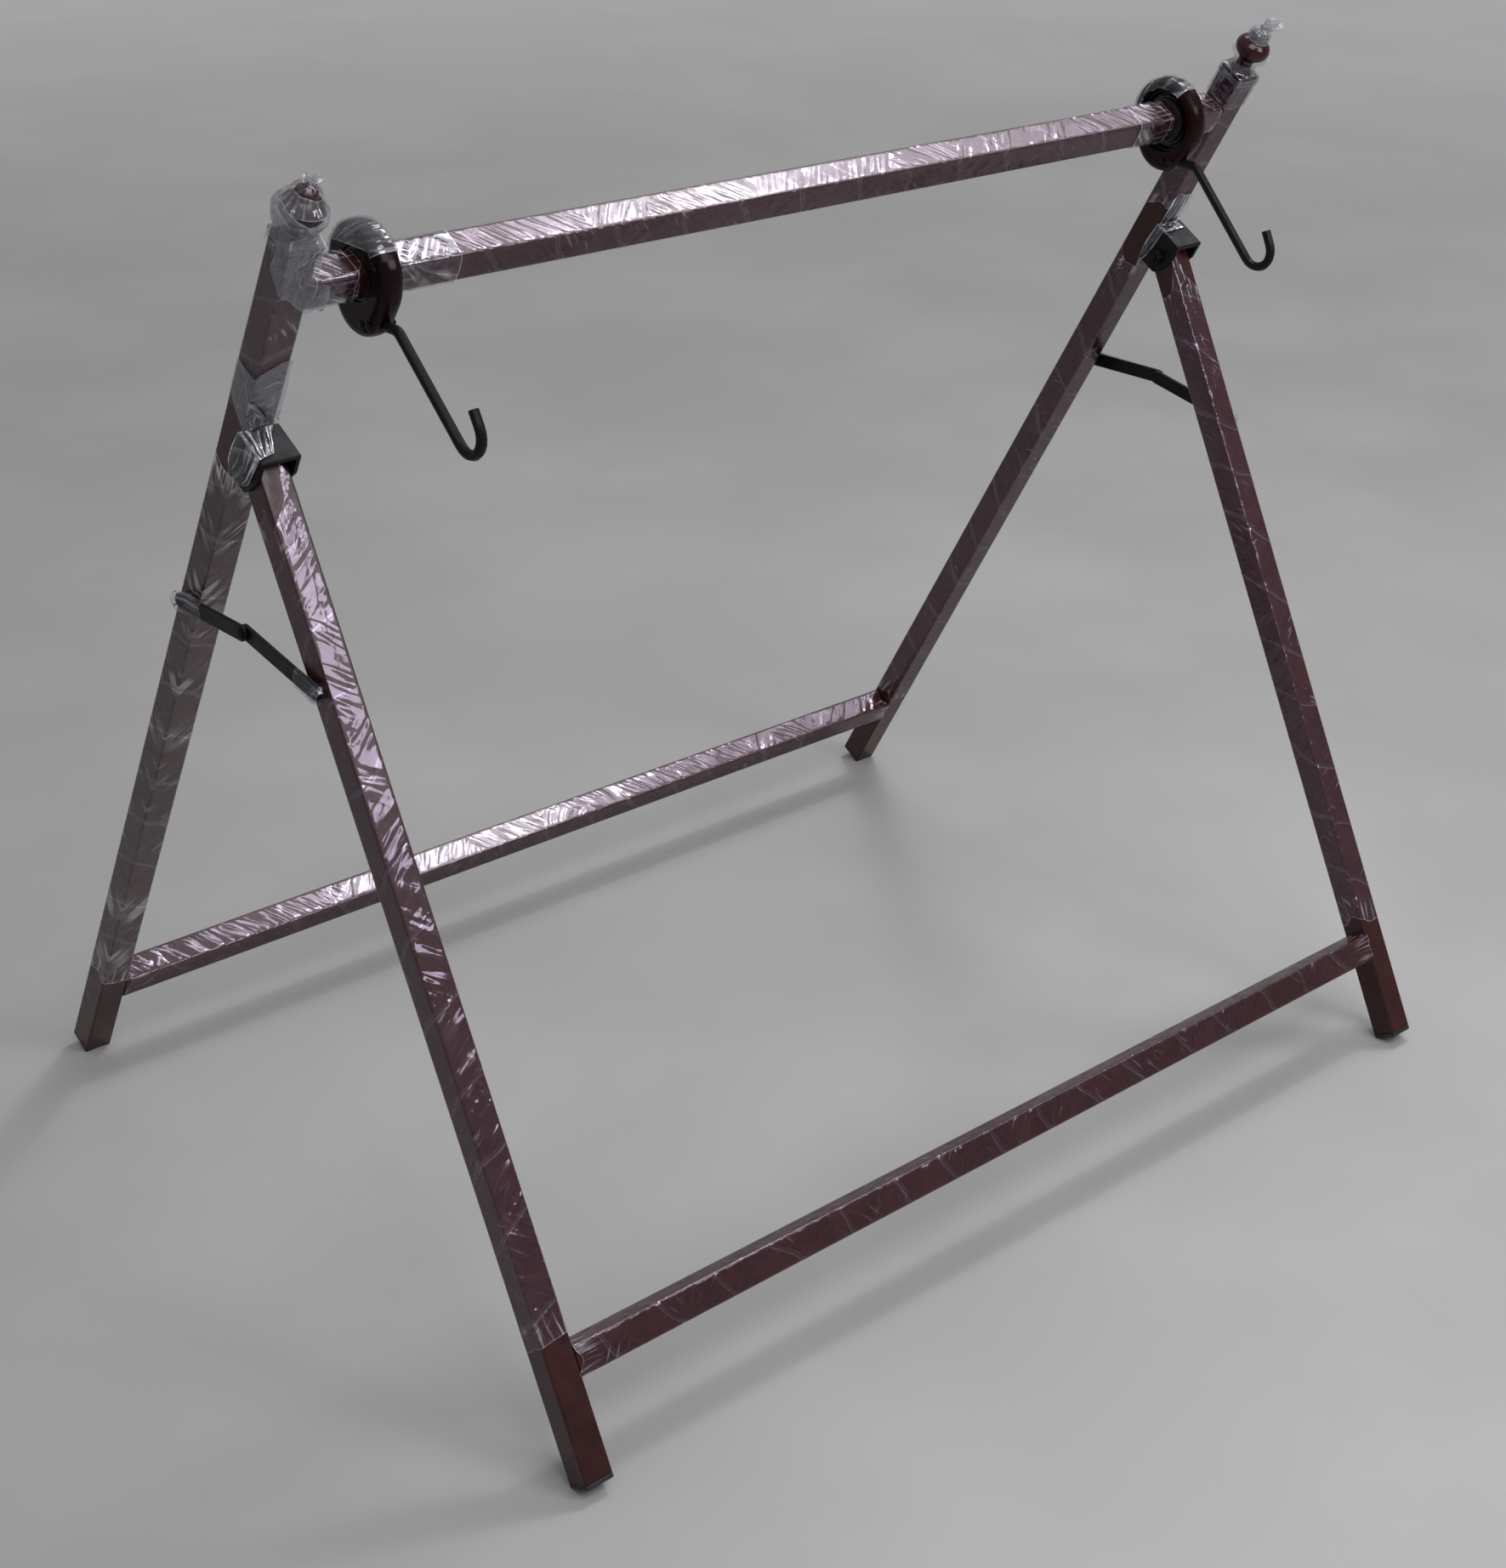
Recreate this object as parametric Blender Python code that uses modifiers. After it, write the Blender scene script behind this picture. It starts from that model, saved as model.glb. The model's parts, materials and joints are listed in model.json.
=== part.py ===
"""Folding cradle stand: a steel A-frame with a top bar and two swinging hooks.

The stand is built in metres with +Z up. X runs along the top bar, -Y is the front and the
origin lies on the floor under the middle of the stand. The back frame carries the top bar,
the front frame hinges on it, and a folding stay holds each pair of legs apart.
"""

import bmesh
import bpy
from math import acos, atan2, cos, hypot, pi, radians, sin
from mathutils import Matrix, Vector

# Square tube that the legs, the rails and the top bar are made of
TUBE_WIDTH = 0.025
TUBE_WALL = 0.0012
TUBE_CORNER = 0.0015

# Overall layout
LEG_SPACING = 0.9665
LEG_TILT = radians(28.46)
BACK_LEG_LENGTH = 0.988
BAR_FROM_TOP = 0.043
HINGE_FROM_TOP = 0.1892
RAIL_FROM_FOOT = 0.0918

# Gap kept between pieces that touch, and side play in the hinge
CLEARANCE = 0.0003
HINGE_PLAY = 0.0005

# Hinge between the front and back legs
HINGE_SETOUT = 0.030
LEG_END_PAST_PIVOT = 0.011
BRACKET_PLATE = 0.003
BRACKET_RISE = 0.021
BRACKET_DROP = 0.016
BRACKET_REACH = 0.016
BRACKET_CORNER = 0.006
BRACKET_NOSE = 0.0015
BOLT_RADIUS = 0.004
BOLT_HEAD_FLATS = 0.013
BOLT_HEAD_HEIGHT = 0.0053
BOLT_HEAD_CHAMFER = 0.0006
BOLT_END_PAST_NUT = 0.002
NUT_HEIGHT = 0.0065
BUSH_WALL = 0.0018

# Folding stays on the outer faces of the legs
STAY_TOP_BELOW_HINGE = 0.1688
STAY_FOOT_BELOW_HINGE = 0.1635
STAY_STANDOFF = 0.002
KNEE_FROM_BACK_PIVOT = 0.0905
KNEE_RISE = 0.0095
LINK_WIDTH = 0.0125
LINK_THICKNESS = 0.003
RIVET_RADIUS = 0.0026
RIVET_HEAD_RADIUS = 0.0046
RIVET_HEAD_HEIGHT = 0.0022
RIVET_TAIL_HEIGHT = 0.0018
RIVET_TAIL_TAPER = 0.9
SPACER_RADIUS = 0.006

# End caps under the legs
CAP_FLANGE = 0.004
CAP_PLUG_DEPTH = 0.014
CAP_PLUG_WALL = 0.0018
CAP_EDGE = 0.0008

# Finials on top of the back legs
FINIAL_BASE = 0.003
FINIAL_PLUG_DEPTH = 0.015
FINIAL_NECK_RADIUS = 0.0072
FINIAL_NECK_HEIGHT = 0.0145
FINIAL_NECK_FLARE = 1.4
FINIAL_NECK_LEVELS = (0.7, 0.35, 0.1)
FINIAL_BULB_RADIUS = 0.016
FINIAL_BULB_HALF_HEIGHT = 0.0115
FINIAL_BUTTON_RADIUS = 0.0084
FINIAL_BUTTON_HEIGHT = 0.0085
FINIAL_BULB_TOP = radians(62)
FINIAL_BULB_FOOT = radians(60)

# Hangers on the top bar: an egg-shaped housing round a ball bearing, with a hook
HANGER_FROM_LEG = 0.053
HANGER_SWING = {"left": radians(1.9), "right": radians(-2.1)}
HOUSING_RADIUS = 0.0375
HOUSING_TIP_RADIUS = 0.029
HOUSING_TIP_DROP = 0.017
HOUSING_TIP_LEAN = radians(7.0)
HOUSING_THICKNESS = 0.019
HOUSING_EDGE = 0.0068
HOUSING_WALL = 0.004
RETAINER_LIP = 0.0026
COLLAR_WALL = 0.002
COLLAR_LENGTH = 0.015
RACE_WALL = 0.0024
RACE_WIDTH = 0.009
BALL_RADIUS = 0.0019
BALL_COUNT = 10
GROOVE_DEPTH = 0.0007
CAGE_WALL = 0.001
CAGE_WIDTH = 0.0052
RETAINER_THICKNESS = 0.0015

# Hook rod, in the plane of the hanger and measured from the bar's axis
HOOK_ROD_RADIUS = 0.004
HOOK_LEAN = radians(47.2)
HOOK_ROOT_BACK = 0.002
HOOK_ROOT_DROP = 0.0345
HOOK_BEND_FROM_AXIS = 0.050
HOOK_BEND_RADIUS = 0.010
HOOK_STRAIGHT_END = 0.1455
HOOK_MOUTH_RADIUS = 0.0155
HOOK_TURN = radians(162.0)
HOOK_TIP_LENGTH = 0.0125
HOOK_RIVET_RADIUS = 0.0016
HOOK_RIVET_HEAD_RADIUS = 0.0032
HOOK_RIVET_HEAD_HEIGHT = 0.0014
HOOK_RIVETS_FROM_ROOT = (0.007, 0.0165)

# Facets used on round shapes
CORNER_STEPS = 3
ROUND_STEPS = 28
SEAT_STEPS = 32
FINIAL_STEPS = 20
FINIAL_BULB_STEPS = 7
RIVET_STEPS = 12
DOME_STEPS = 3
HOLE_STEPS = 12
LINK_END_STEPS = 6
HOOK_BEND_STEPS = 4
HOOK_TURN_STEPS = 11
BALL_SEGMENTS = 6
WELD_DISTANCE = 0.00001

SIDES = {"left": -1, "right": 1}

# A turn of axes that lays a flat outline in the YZ plane and its thickness along X
ACROSS = Matrix(((0, 0, 1, 0), (1, 0, 0, 0), (0, 1, 0, 0), (0, 0, 0, 1)))


# Derived places

LEG_X = LEG_SPACING / 2
LEG_OUTER_X = LEG_X + TUBE_WIDTH / 2
LEG_INNER_X = LEG_X - TUBE_WIDTH / 2
PIVOT_ON_BACK_LEG = BACK_LEG_LENGTH - HINGE_FROM_TOP
PIVOT_BELOW_CROSS = HINGE_SETOUT / sin(2 * LEG_TILT)
LEGS_CROSS_AT = PIVOT_ON_BACK_LEG + PIVOT_BELOW_CROSS * cos(2 * LEG_TILT)
PIVOT_ON_FRONT_LEG = LEGS_CROSS_AT - PIVOT_BELOW_CROSS
SOLE_CENTRE_Y = LEGS_CROSS_AT * sin(LEG_TILT)
SOLE_CENTRE_Z = (TUBE_WIDTH / 2 - CAP_EDGE) * sin(LEG_TILT)
FRONT_LEG_LENGTH = PIVOT_ON_FRONT_LEG + LEG_END_PAST_PIVOT
RAIL_LENGTH = 2 * (LEG_INNER_X - CLEARANCE)
HANGER_X = LEG_INNER_X - HANGER_FROM_LEG
TUBE_BORE = TUBE_WIDTH - 2 * TUBE_WALL
TUBE_BORE_CORNER = max(TUBE_CORNER - TUBE_WALL, TUBE_WALL / 2)


def back_point(along, x=0.0, forward=0.0):
    """A point along a back leg, measured up from its sole and forward of its axis."""
    y = SOLE_CENTRE_Y - along * sin(LEG_TILT) - forward * cos(LEG_TILT)
    z = SOLE_CENTRE_Z + along * cos(LEG_TILT) - forward * sin(LEG_TILT)
    return Vector((x, y, z))


def front_point(along, x=0.0):
    """A point along a front leg's axis, measured up from its sole."""
    y = -SOLE_CENTRE_Y + along * sin(LEG_TILT)
    z = SOLE_CENTRE_Z + along * cos(LEG_TILT)
    return Vector((x, y, z))


HINGE = back_point(PIVOT_ON_BACK_LEG, 0.0, HINGE_SETOUT)
BAR_AXIS = back_point(BACK_LEG_LENGTH - BAR_FROM_TOP)
STAY_TOP = back_point(PIVOT_ON_BACK_LEG - STAY_TOP_BELOW_HINGE)
STAY_FOOT = front_point(PIVOT_ON_FRONT_LEG - STAY_FOOT_BELOW_HINGE)
STAY_SPAN = (STAY_FOOT - STAY_TOP).normalized()
KNEE = STAY_TOP + STAY_SPAN * KNEE_FROM_BACK_PIVOT + Vector((0, STAY_SPAN.z, -STAY_SPAN.y)) * KNEE_RISE

back_turn = Matrix.Rotation(LEG_TILT, 4, "X")
front_turn = Matrix.Rotation(-LEG_TILT, 4, "X")
along_x = Matrix.Rotation(pi / 2, 4, "Y")


# Scene, collections and materials

for leftover in list(bpy.data.objects):
    bpy.data.objects.remove(leftover, do_unlink=True)

parts = bpy.data.collections.new("folding_cradle_stand")
cutters = bpy.data.collections.new("cutters")
bpy.context.scene.collection.children.link(parts)
bpy.context.scene.collection.children.link(cutters)


def finish(name, colour, roughness, metallic):
    material = bpy.data.materials.new(name)
    material.use_nodes = True
    shader = material.node_tree.nodes["Principled BSDF"]
    shader.inputs["Base Color"].default_value = (*colour, 1.0)
    shader.inputs["Roughness"].default_value = roughness
    shader.inputs["Metallic"].default_value = metallic
    material.diffuse_color = (*colour, 1.0)
    return material


MAROON_PAINT = finish("maroon_gloss_paint", (0.055, 0.014, 0.012), 0.22, 0.0)
BLACK_PAINT = finish("black_gloss_paint", (0.018, 0.016, 0.019), 0.28, 0.0)
HANGER_PAINT = finish("brown_black_paint", (0.035, 0.018, 0.018), 0.25, 0.0)
BLACK_PLASTIC = finish("black_plastic", (0.02, 0.021, 0.024), 0.5, 0.0)
FINIAL_PLASTIC = finish("maroon_plastic", (0.09, 0.014, 0.012), 0.2, 0.0)
PLATED_STEEL = finish("plated_steel", (0.55, 0.55, 0.56), 0.32, 1.0)
BEARING_STEEL = finish("bearing_steel", (0.5, 0.5, 0.52), 0.2, 1.0)


# Shape helpers

def arc(centre, radius, start, end, steps):
    """Points on an arc, both ends included."""
    points = []
    for i in range(steps + 1):
        angle = start + (end - start) * i / steps
        points.append((centre[0] + radius * cos(angle), centre[1] + radius * sin(angle)))
    return points


def circle(radius, steps, centre=(0.0, 0.0)):
    return arc(centre, radius, 0.0, 2 * pi * (steps - 1) / steps, steps - 1)


def rounded_rectangle(width, height, radius, steps=CORNER_STEPS):
    points = []
    for quarter, (sx, sy) in enumerate(((1, 1), (-1, 1), (-1, -1), (1, -1))):
        centre = (sx * (width / 2 - radius), sy * (height / 2 - radius))
        points += arc(centre, radius, quarter * pi / 2, (quarter + 1) * pi / 2, steps)
    return points


def rounded_polygon(corners, radii, steps=CORNER_STEPS):
    """A closed outline with each corner replaced by a tangent arc of its own radius."""
    points = []
    count = len(corners)
    for i, (corner, radius) in enumerate(zip(corners, radii)):
        here = Vector(corner)
        to_last = (Vector(corners[i - 1]) - here).normalized()
        to_next = (Vector(corners[(i + 1) % count]) - here).normalized()
        if radius <= 0:
            points.append(tuple(here))
            continue
        points += fillet(here, to_last, to_next, radius, steps)
    return points


def fillet(corner, to_last, to_next, radius, steps):
    """Points of the arc that rounds a corner between two directions."""
    half = to_last.angle(to_next) / 2
    middle = (to_last + to_next).normalized()
    centre = corner + middle * (radius / sin(half))
    first = corner + to_last * (radius * cos(half) / sin(half)) - centre
    last = corner + to_next * (radius * cos(half) / sin(half)) - centre
    turn = first.angle_signed(last)
    points = []
    for i in range(steps + 1):
        spoke = Matrix.Rotation(-turn * i / steps, 2) @ first
        points.append(tuple(centre + spoke))
    return points


def stadium(length, width, steps):
    """A flat bar with round ends, from the origin to (length, 0)."""
    start_end = arc((0.0, 0.0), width / 2, pi / 2, 3 * pi / 2, steps)
    far_end = arc((length, 0.0), width / 2, -pi / 2, pi / 2, steps)
    return start_end + far_end


def egg(radius, tip_radius, drop, lean):
    """The outline round a large circle at the origin and a smaller one below it."""
    spread = acos((radius - tip_radius) / drop)
    down = -pi / 2 + lean
    upper = arc((0.0, 0.0), radius, down + spread, down + 2 * pi - spread, ROUND_STEPS)
    tip_centre = (drop * cos(down), drop * sin(down))
    lower = arc(tip_centre, tip_radius, down - spread, down + spread, ROUND_STEPS // 2)
    return upper + lower


def place(obj, matrix, material, owner=None):
    """Put a piece in the model with its finish, and hang it on its joint's empty."""
    obj.matrix_world = matrix
    obj.data.materials.clear()
    obj.data.materials.append(material)
    parts.objects.link(obj)
    if owner is not None:
        obj.parent = owner
        obj.matrix_parent_inverse = owner.matrix_world.inverted()
    return obj


def joint_empty(name, point):
    empty = bpy.data.objects.new(name, None)
    empty.empty_display_size = 0.03
    empty.matrix_world = Matrix.Translation(point)
    parts.objects.link(empty)
    return empty


def smooth(mesh):
    mesh.shade_smooth()
    mesh.set_sharp_from_angle(angle=radians(32))


def curve_to_mesh(name, curve):
    """Turn a curve into a closed mesh object with its caps welded on."""
    drawn = bpy.data.objects.new(name + "_curve", curve)
    bpy.context.scene.collection.objects.link(drawn)
    graph = bpy.context.evaluated_depsgraph_get()
    mesh = bpy.data.meshes.new_from_object(drawn.evaluated_get(graph))
    bpy.data.objects.remove(drawn, do_unlink=True)
    shell = bmesh.new()
    shell.from_mesh(mesh)
    bmesh.ops.remove_doubles(shell, verts=shell.verts, dist=WELD_DISTANCE)
    bmesh.ops.recalc_face_normals(shell, faces=shell.faces)
    shell.to_mesh(mesh)
    shell.free()
    smooth(mesh)
    return bpy.data.objects.new(name, mesh)


def outline_solid(name, outlines, thickness, edge=0.0, edge_steps=3):
    """A flat outline, with any holes, given a thickness and optionally rounded edges."""
    curve = bpy.data.curves.new(name, "CURVE")
    curve.dimensions = "2D"
    curve.fill_mode = "BOTH"
    curve.extrude = thickness / 2 - edge
    curve.bevel_depth = edge
    curve.bevel_resolution = edge_steps
    curve.offset = -edge
    for outline in outlines:
        spline = curve.splines.new("POLY")
        spline.points.add(len(outline) - 1)
        for point, (x, y) in zip(spline.points, outline):
            point.co = (x, y, 0.0, 1.0)
        spline.use_cyclic_u = True
    return curve_to_mesh(name, curve)


def rod(name, path, radius, sides_level=2):
    """A round bar along a path of points."""
    curve = bpy.data.curves.new(name, "CURVE")
    curve.dimensions = "3D"
    curve.bevel_depth = radius
    curve.bevel_resolution = sides_level
    curve.use_fill_caps = True
    spline = curve.splines.new("POLY")
    spline.points.add(len(path) - 1)
    for point, place_on_path in zip(spline.points, path):
        point.co = (*place_on_path, 1.0)
    return curve_to_mesh(name, curve)


def turned(name, profile, steps, closed=False):
    """A turned piece about Z from (radius, height) points that run down the outer side."""
    mesh = bpy.data.meshes.new(name)
    vertices = [(radius, 0.0, height) for radius, height in profile]
    edges = [(i, i + 1) for i in range(len(profile) - 1)]
    if closed:
        edges.append((len(profile) - 1, 0))
    mesh.from_pydata(vertices, edges, [])
    obj = bpy.data.objects.new(name, mesh)
    screw = obj.modifiers.new("turn", "SCREW")
    screw.axis = "Z"
    screw.angle = 2 * pi
    screw.steps = steps
    screw.render_steps = steps
    screw.use_merge_vertices = True
    screw.merge_threshold = WELD_DISTANCE
    return obj


def drill(name, radius, length):
    """A straight cylinder about Z, centred on the origin, for a hole or a shank."""
    mesh = bpy.data.meshes.new(name)
    shape = bmesh.new()
    size = {"radius1": radius, "radius2": radius, "depth": length}
    bmesh.ops.create_cone(shape, cap_ends=True, segments=HOLE_STEPS, **size)
    shape.to_mesh(mesh)
    shape.free()
    smooth(mesh)
    return bpy.data.objects.new(name, mesh)


def block(name, size):
    """A plain box centred on the origin."""
    mesh = bpy.data.meshes.new(name)
    shape = bmesh.new()
    bmesh.ops.create_cube(shape, size=1.0, matrix=Matrix.Diagonal((*size, 1.0)))
    shape.to_mesh(mesh)
    shape.free()
    return bpy.data.objects.new(name, mesh)


def combine(target, tool, matrix, operation="DIFFERENCE"):
    """Cut the tool out of the target, or join it on, and put the tool away."""
    tool.matrix_world = matrix
    tool.hide_render = True
    tool.display_type = "WIRE"
    cutters.objects.link(tool)
    boolean = target.modifiers.new(tool.name, "BOOLEAN")
    boolean.operation = operation
    boolean.solver = "EXACT"
    boolean.object = tool


# Tubes

def tube(name, length):
    """A length of the square tube along Z, centred on the origin."""
    outer = rounded_rectangle(TUBE_WIDTH, TUBE_WIDTH, TUBE_CORNER)
    bore = rounded_rectangle(TUBE_BORE, TUBE_BORE, TUBE_BORE_CORNER)
    return outline_solid(name, [outer, bore], length)


def build_back_leg(side, sign):
    length = BACK_LEG_LENGTH - CAP_FLANGE - CLEARANCE
    middle = back_point(BACK_LEG_LENGTH - length / 2, sign * LEG_X)
    leg = place(tube("back_leg_" + side, length), Matrix.Translation(middle) @ back_turn, MAROON_PAINT)
    hole = drill("stay_hole_" + side, RIVET_RADIUS + CLEARANCE, 4 * TUBE_WALL)
    at_wall = Vector((sign * LEG_OUTER_X, STAY_TOP.y, STAY_TOP.z))
    combine(leg, hole, Matrix.Translation(at_wall) @ along_x)


def build_front_leg(side, sign, owner):
    length = FRONT_LEG_LENGTH - CAP_FLANGE - CLEARANCE
    middle = front_point(FRONT_LEG_LENGTH - length / 2, sign * LEG_X)
    matrix = Matrix.Translation(middle) @ front_turn
    leg = place(tube("front_leg_" + side, length), matrix, MAROON_PAINT, owner)
    hole = drill("pivot_hole_" + side, BOLT_RADIUS + CLEARANCE, 2 * TUBE_WIDTH)
    combine(leg, hole, Matrix.Translation((sign * LEG_X, HINGE.y, HINGE.z)) @ along_x)


def build_cross_tube(name, centre, turn, owner=None):
    matrix = Matrix.Translation(centre) @ turn @ along_x
    place(tube(name, RAIL_LENGTH), matrix, MAROON_PAINT, owner)


# End caps and finials

def plug_width():
    return TUBE_BORE - 2 * CLEARANCE


def build_foot_cap(name, sole, turn, owner=None):
    """A moulded cap: a sole as wide as the tube and a hollow plug that sits in the bore."""
    outline = rounded_rectangle(TUBE_WIDTH, TUBE_WIDTH, TUBE_CORNER)
    cap = outline_solid(name, [outline], CAP_FLANGE, CAP_EDGE, 0)
    to_middle = Matrix.Translation((0, 0, CAP_FLANGE / 2))
    placed = Matrix.Translation(sole) @ turn
    place(cap, placed @ to_middle, BLACK_PLASTIC, owner)
    plug_outline = rounded_rectangle(plug_width(), plug_width(), TUBE_BORE_CORNER)
    plug_length = CAP_PLUG_DEPTH + CAP_FLANGE / 2
    plug = outline_solid(name + "_plug", [plug_outline], plug_length)
    combine(cap, plug, placed @ Matrix.Translation((0, 0, CAP_FLANGE / 2 + plug_length / 2)), "UNION")
    hollow_width = plug_width() - 2 * CAP_PLUG_WALL
    hollow = block(name + "_hollow", (hollow_width, hollow_width, 2 * CAP_PLUG_DEPTH))
    combine(cap, hollow, placed @ Matrix.Translation((0, 0, CAP_FLANGE + CAP_PLUG_DEPTH)))


def finial_profile():
    """The turned outline of a finial above its square base: button, bulb and neck."""
    bulb_centre = FINIAL_BASE + FINIAL_NECK_HEIGHT + FINIAL_BULB_HALF_HEIGHT * sin(FINIAL_BULB_FOOT)
    bulb = []
    for i in range(FINIAL_BULB_STEPS + 1):
        angle = FINIAL_BULB_TOP - (FINIAL_BULB_TOP + FINIAL_BULB_FOOT) * i / FINIAL_BULB_STEPS
        bulb.append((FINIAL_BULB_RADIUS * cos(angle), bulb_centre + FINIAL_BULB_HALF_HEIGHT * sin(angle)))
    button_foot = bulb[0][1]
    button_side = button_foot + FINIAL_BUTTON_HEIGHT / 3
    button = [(0.0, button_foot + FINIAL_BUTTON_HEIGHT)]
    for i in range(1, DOME_STEPS + 2):
        angle = pi / 2 * (1 - i / (DOME_STEPS + 1))
        height = button_side + (button_foot + FINIAL_BUTTON_HEIGHT - button_side) * sin(angle)
        button.append((FINIAL_BUTTON_RADIUS * cos(angle), height))
    neck_flare = FINIAL_NECK_RADIUS * FINIAL_NECK_FLARE
    levels = [FINIAL_BASE + FINIAL_NECK_HEIGHT * level for level in FINIAL_NECK_LEVELS]
    waist_top, waist_foot, flare_top = levels
    neck = [
        (FINIAL_NECK_RADIUS, waist_top),
        (FINIAL_NECK_RADIUS, waist_foot),
        (neck_flare, flare_top),
        (neck_flare, FINIAL_BASE / 2),
        (0.0, FINIAL_BASE / 2),
    ]
    return button + bulb + neck


def build_finial(side, sign):
    placed = Matrix.Translation(back_point(BACK_LEG_LENGTH + CLEARANCE, sign * LEG_X)) @ back_turn
    finial = place(turned("finial_" + side, finial_profile(), FINIAL_STEPS), placed, FINIAL_PLASTIC)
    outline = rounded_rectangle(TUBE_WIDTH, TUBE_WIDTH, TUBE_CORNER)
    base = outline_solid("finial_base_" + side, [outline], FINIAL_BASE, CAP_EDGE, 0)
    combine(finial, base, placed @ Matrix.Translation((0, 0, FINIAL_BASE / 2)), "UNION")
    plug_outline = rounded_rectangle(plug_width(), plug_width(), TUBE_BORE_CORNER)
    plug_length = FINIAL_PLUG_DEPTH + FINIAL_BASE / 2
    plug = outline_solid("finial_plug_" + side, [plug_outline], plug_length)
    combine(finial, plug, placed @ Matrix.Translation((0, 0, FINIAL_BASE / 2 - plug_length / 2)), "UNION")


# Hinge

BRACKET_BACK = -(HINGE_SETOUT - TUBE_WIDTH / 2 - CLEARANCE)
BRACKET_INNER_WIDTH = TUBE_WIDTH + 2 * HINGE_PLAY
BRACKET_OUTER_WIDTH = BRACKET_INNER_WIDTH + 2 * BRACKET_PLATE


def build_bracket(side, sign):
    """A channel folded from plate: a web on top, and two cheeks that hold the pivot bolt."""
    top = BRACKET_RISE + BRACKET_PLATE
    back = -BRACKET_BACK
    corners = [
        (back, top),
        (-BRACKET_REACH, top),
        (-BRACKET_REACH, BRACKET_CORNER),
        (-BRACKET_CORNER, -BRACKET_DROP),
        (back, -BRACKET_DROP),
    ]
    radii = [0.0, BRACKET_NOSE, BRACKET_CORNER, BRACKET_CORNER, 0.0]
    bracket = outline_solid("hinge_bracket_" + side, [rounded_polygon(corners, radii)], BRACKET_OUTER_WIDTH)
    at_pivot = Matrix.Translation((sign * LEG_X, HINGE.y, HINGE.z)) @ back_turn
    place(bracket, at_pivot @ ACROSS, BLACK_PAINT)
    channel_height = BRACKET_RISE + 2 * BRACKET_DROP
    channel = block("channel_" + side, (BRACKET_INNER_WIDTH, 4 * HINGE_SETOUT, channel_height))
    combine(bracket, channel, at_pivot @ Matrix.Translation((0, 0, BRACKET_RISE - channel_height / 2)))
    hole = drill("bracket_hole_" + side, BOLT_RADIUS + CLEARANCE, 2 * BRACKET_OUTER_WIDTH)
    combine(bracket, hole, at_pivot @ along_x)


def hexagon(across_flats):
    radius = across_flats / 2 / cos(pi / 6)
    return circle(radius, 6)


def build_hinge_bolt(side, sign):
    """A hexagon bolt from outside, through both cheeks and the leg, with a nut inside."""
    face = BRACKET_OUTER_WIDTH / 2 + CLEARANCE
    at_pivot = Matrix.Translation((sign * LEG_X, HINGE.y, HINGE.z))
    outward = Matrix.Identity(4) if sign > 0 else Matrix.Rotation(pi, 4, "Z")
    frame = at_pivot @ outward @ ACROSS
    head = [hexagon(BOLT_HEAD_FLATS)]
    bolt = outline_solid("hinge_bolt_" + side, head, BOLT_HEAD_HEIGHT, BOLT_HEAD_CHAMFER, 0)
    place(bolt, frame @ Matrix.Translation((0, 0, face + BOLT_HEAD_HEIGHT / 2)), BLACK_PAINT)
    shank_length = 2 * face + NUT_HEIGHT + BOLT_END_PAST_NUT + BOLT_HEAD_HEIGHT / 2
    shank = drill("bolt_shank_" + side, BOLT_RADIUS, shank_length)
    shank_middle = face + BOLT_HEAD_HEIGHT / 2 - shank_length / 2
    combine(bolt, shank, frame @ Matrix.Translation((0, 0, shank_middle)), "UNION")
    nut_outlines = [hexagon(BOLT_HEAD_FLATS), circle(BOLT_RADIUS + CLEARANCE, HOLE_STEPS)]
    nut = outline_solid("hinge_nut_" + side, nut_outlines, NUT_HEIGHT)
    place(nut, frame @ Matrix.Translation((0, 0, -face - NUT_HEIGHT / 2)), BLACK_PAINT)


def build_hinge_bush(side, sign, owner):
    """A sleeve inside the leg that keeps the bolt from crushing the tube."""
    bore = BOLT_RADIUS + CLEARANCE
    outlines = [circle(bore + BUSH_WALL, HOLE_STEPS), circle(bore, HOLE_STEPS)]
    bush = outline_solid("hinge_bush_" + side, outlines, plug_width())
    place(bush, Matrix.Translation((sign * LEG_X, HINGE.y, HINGE.z)) @ along_x, PLATED_STEEL, owner)


# Folding stays

WASHER_FACE_X = LEG_OUTER_X + CLEARANCE
LOWER_LINK_X = WASHER_FACE_X + STAY_STANDOFF + CLEARANCE + LINK_THICKNESS / 2
UPPER_LINK_X = LOWER_LINK_X + LINK_THICKNESS + CLEARANCE


def build_link(name, start, end, x, owner):
    """A flat bar with round ends and a rivet hole at each end."""
    run = end - start
    angle = atan2(run.z, run.y)
    length = hypot(run.y, run.z)
    hole = RIVET_RADIUS + CLEARANCE
    holes = [circle(hole, HOLE_STEPS), circle(hole, HOLE_STEPS, (length, 0.0))]
    link = outline_solid(name, [stadium(length, LINK_WIDTH, LINK_END_STEPS)] + holes, LINK_THICKNESS)
    middle = Matrix.Translation((x, start.y, start.z))
    place(link, middle @ Matrix.Rotation(angle, 4, "X") @ ACROSS, BLACK_PAINT, owner)


STAY_RIVET = (RIVET_RADIUS, RIVET_HEAD_RADIUS, RIVET_HEAD_HEIGHT)
HOOK_RIVET = (HOOK_RIVET_RADIUS, HOOK_RIVET_HEAD_RADIUS, HOOK_RIVET_HEAD_HEIGHT)


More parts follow.
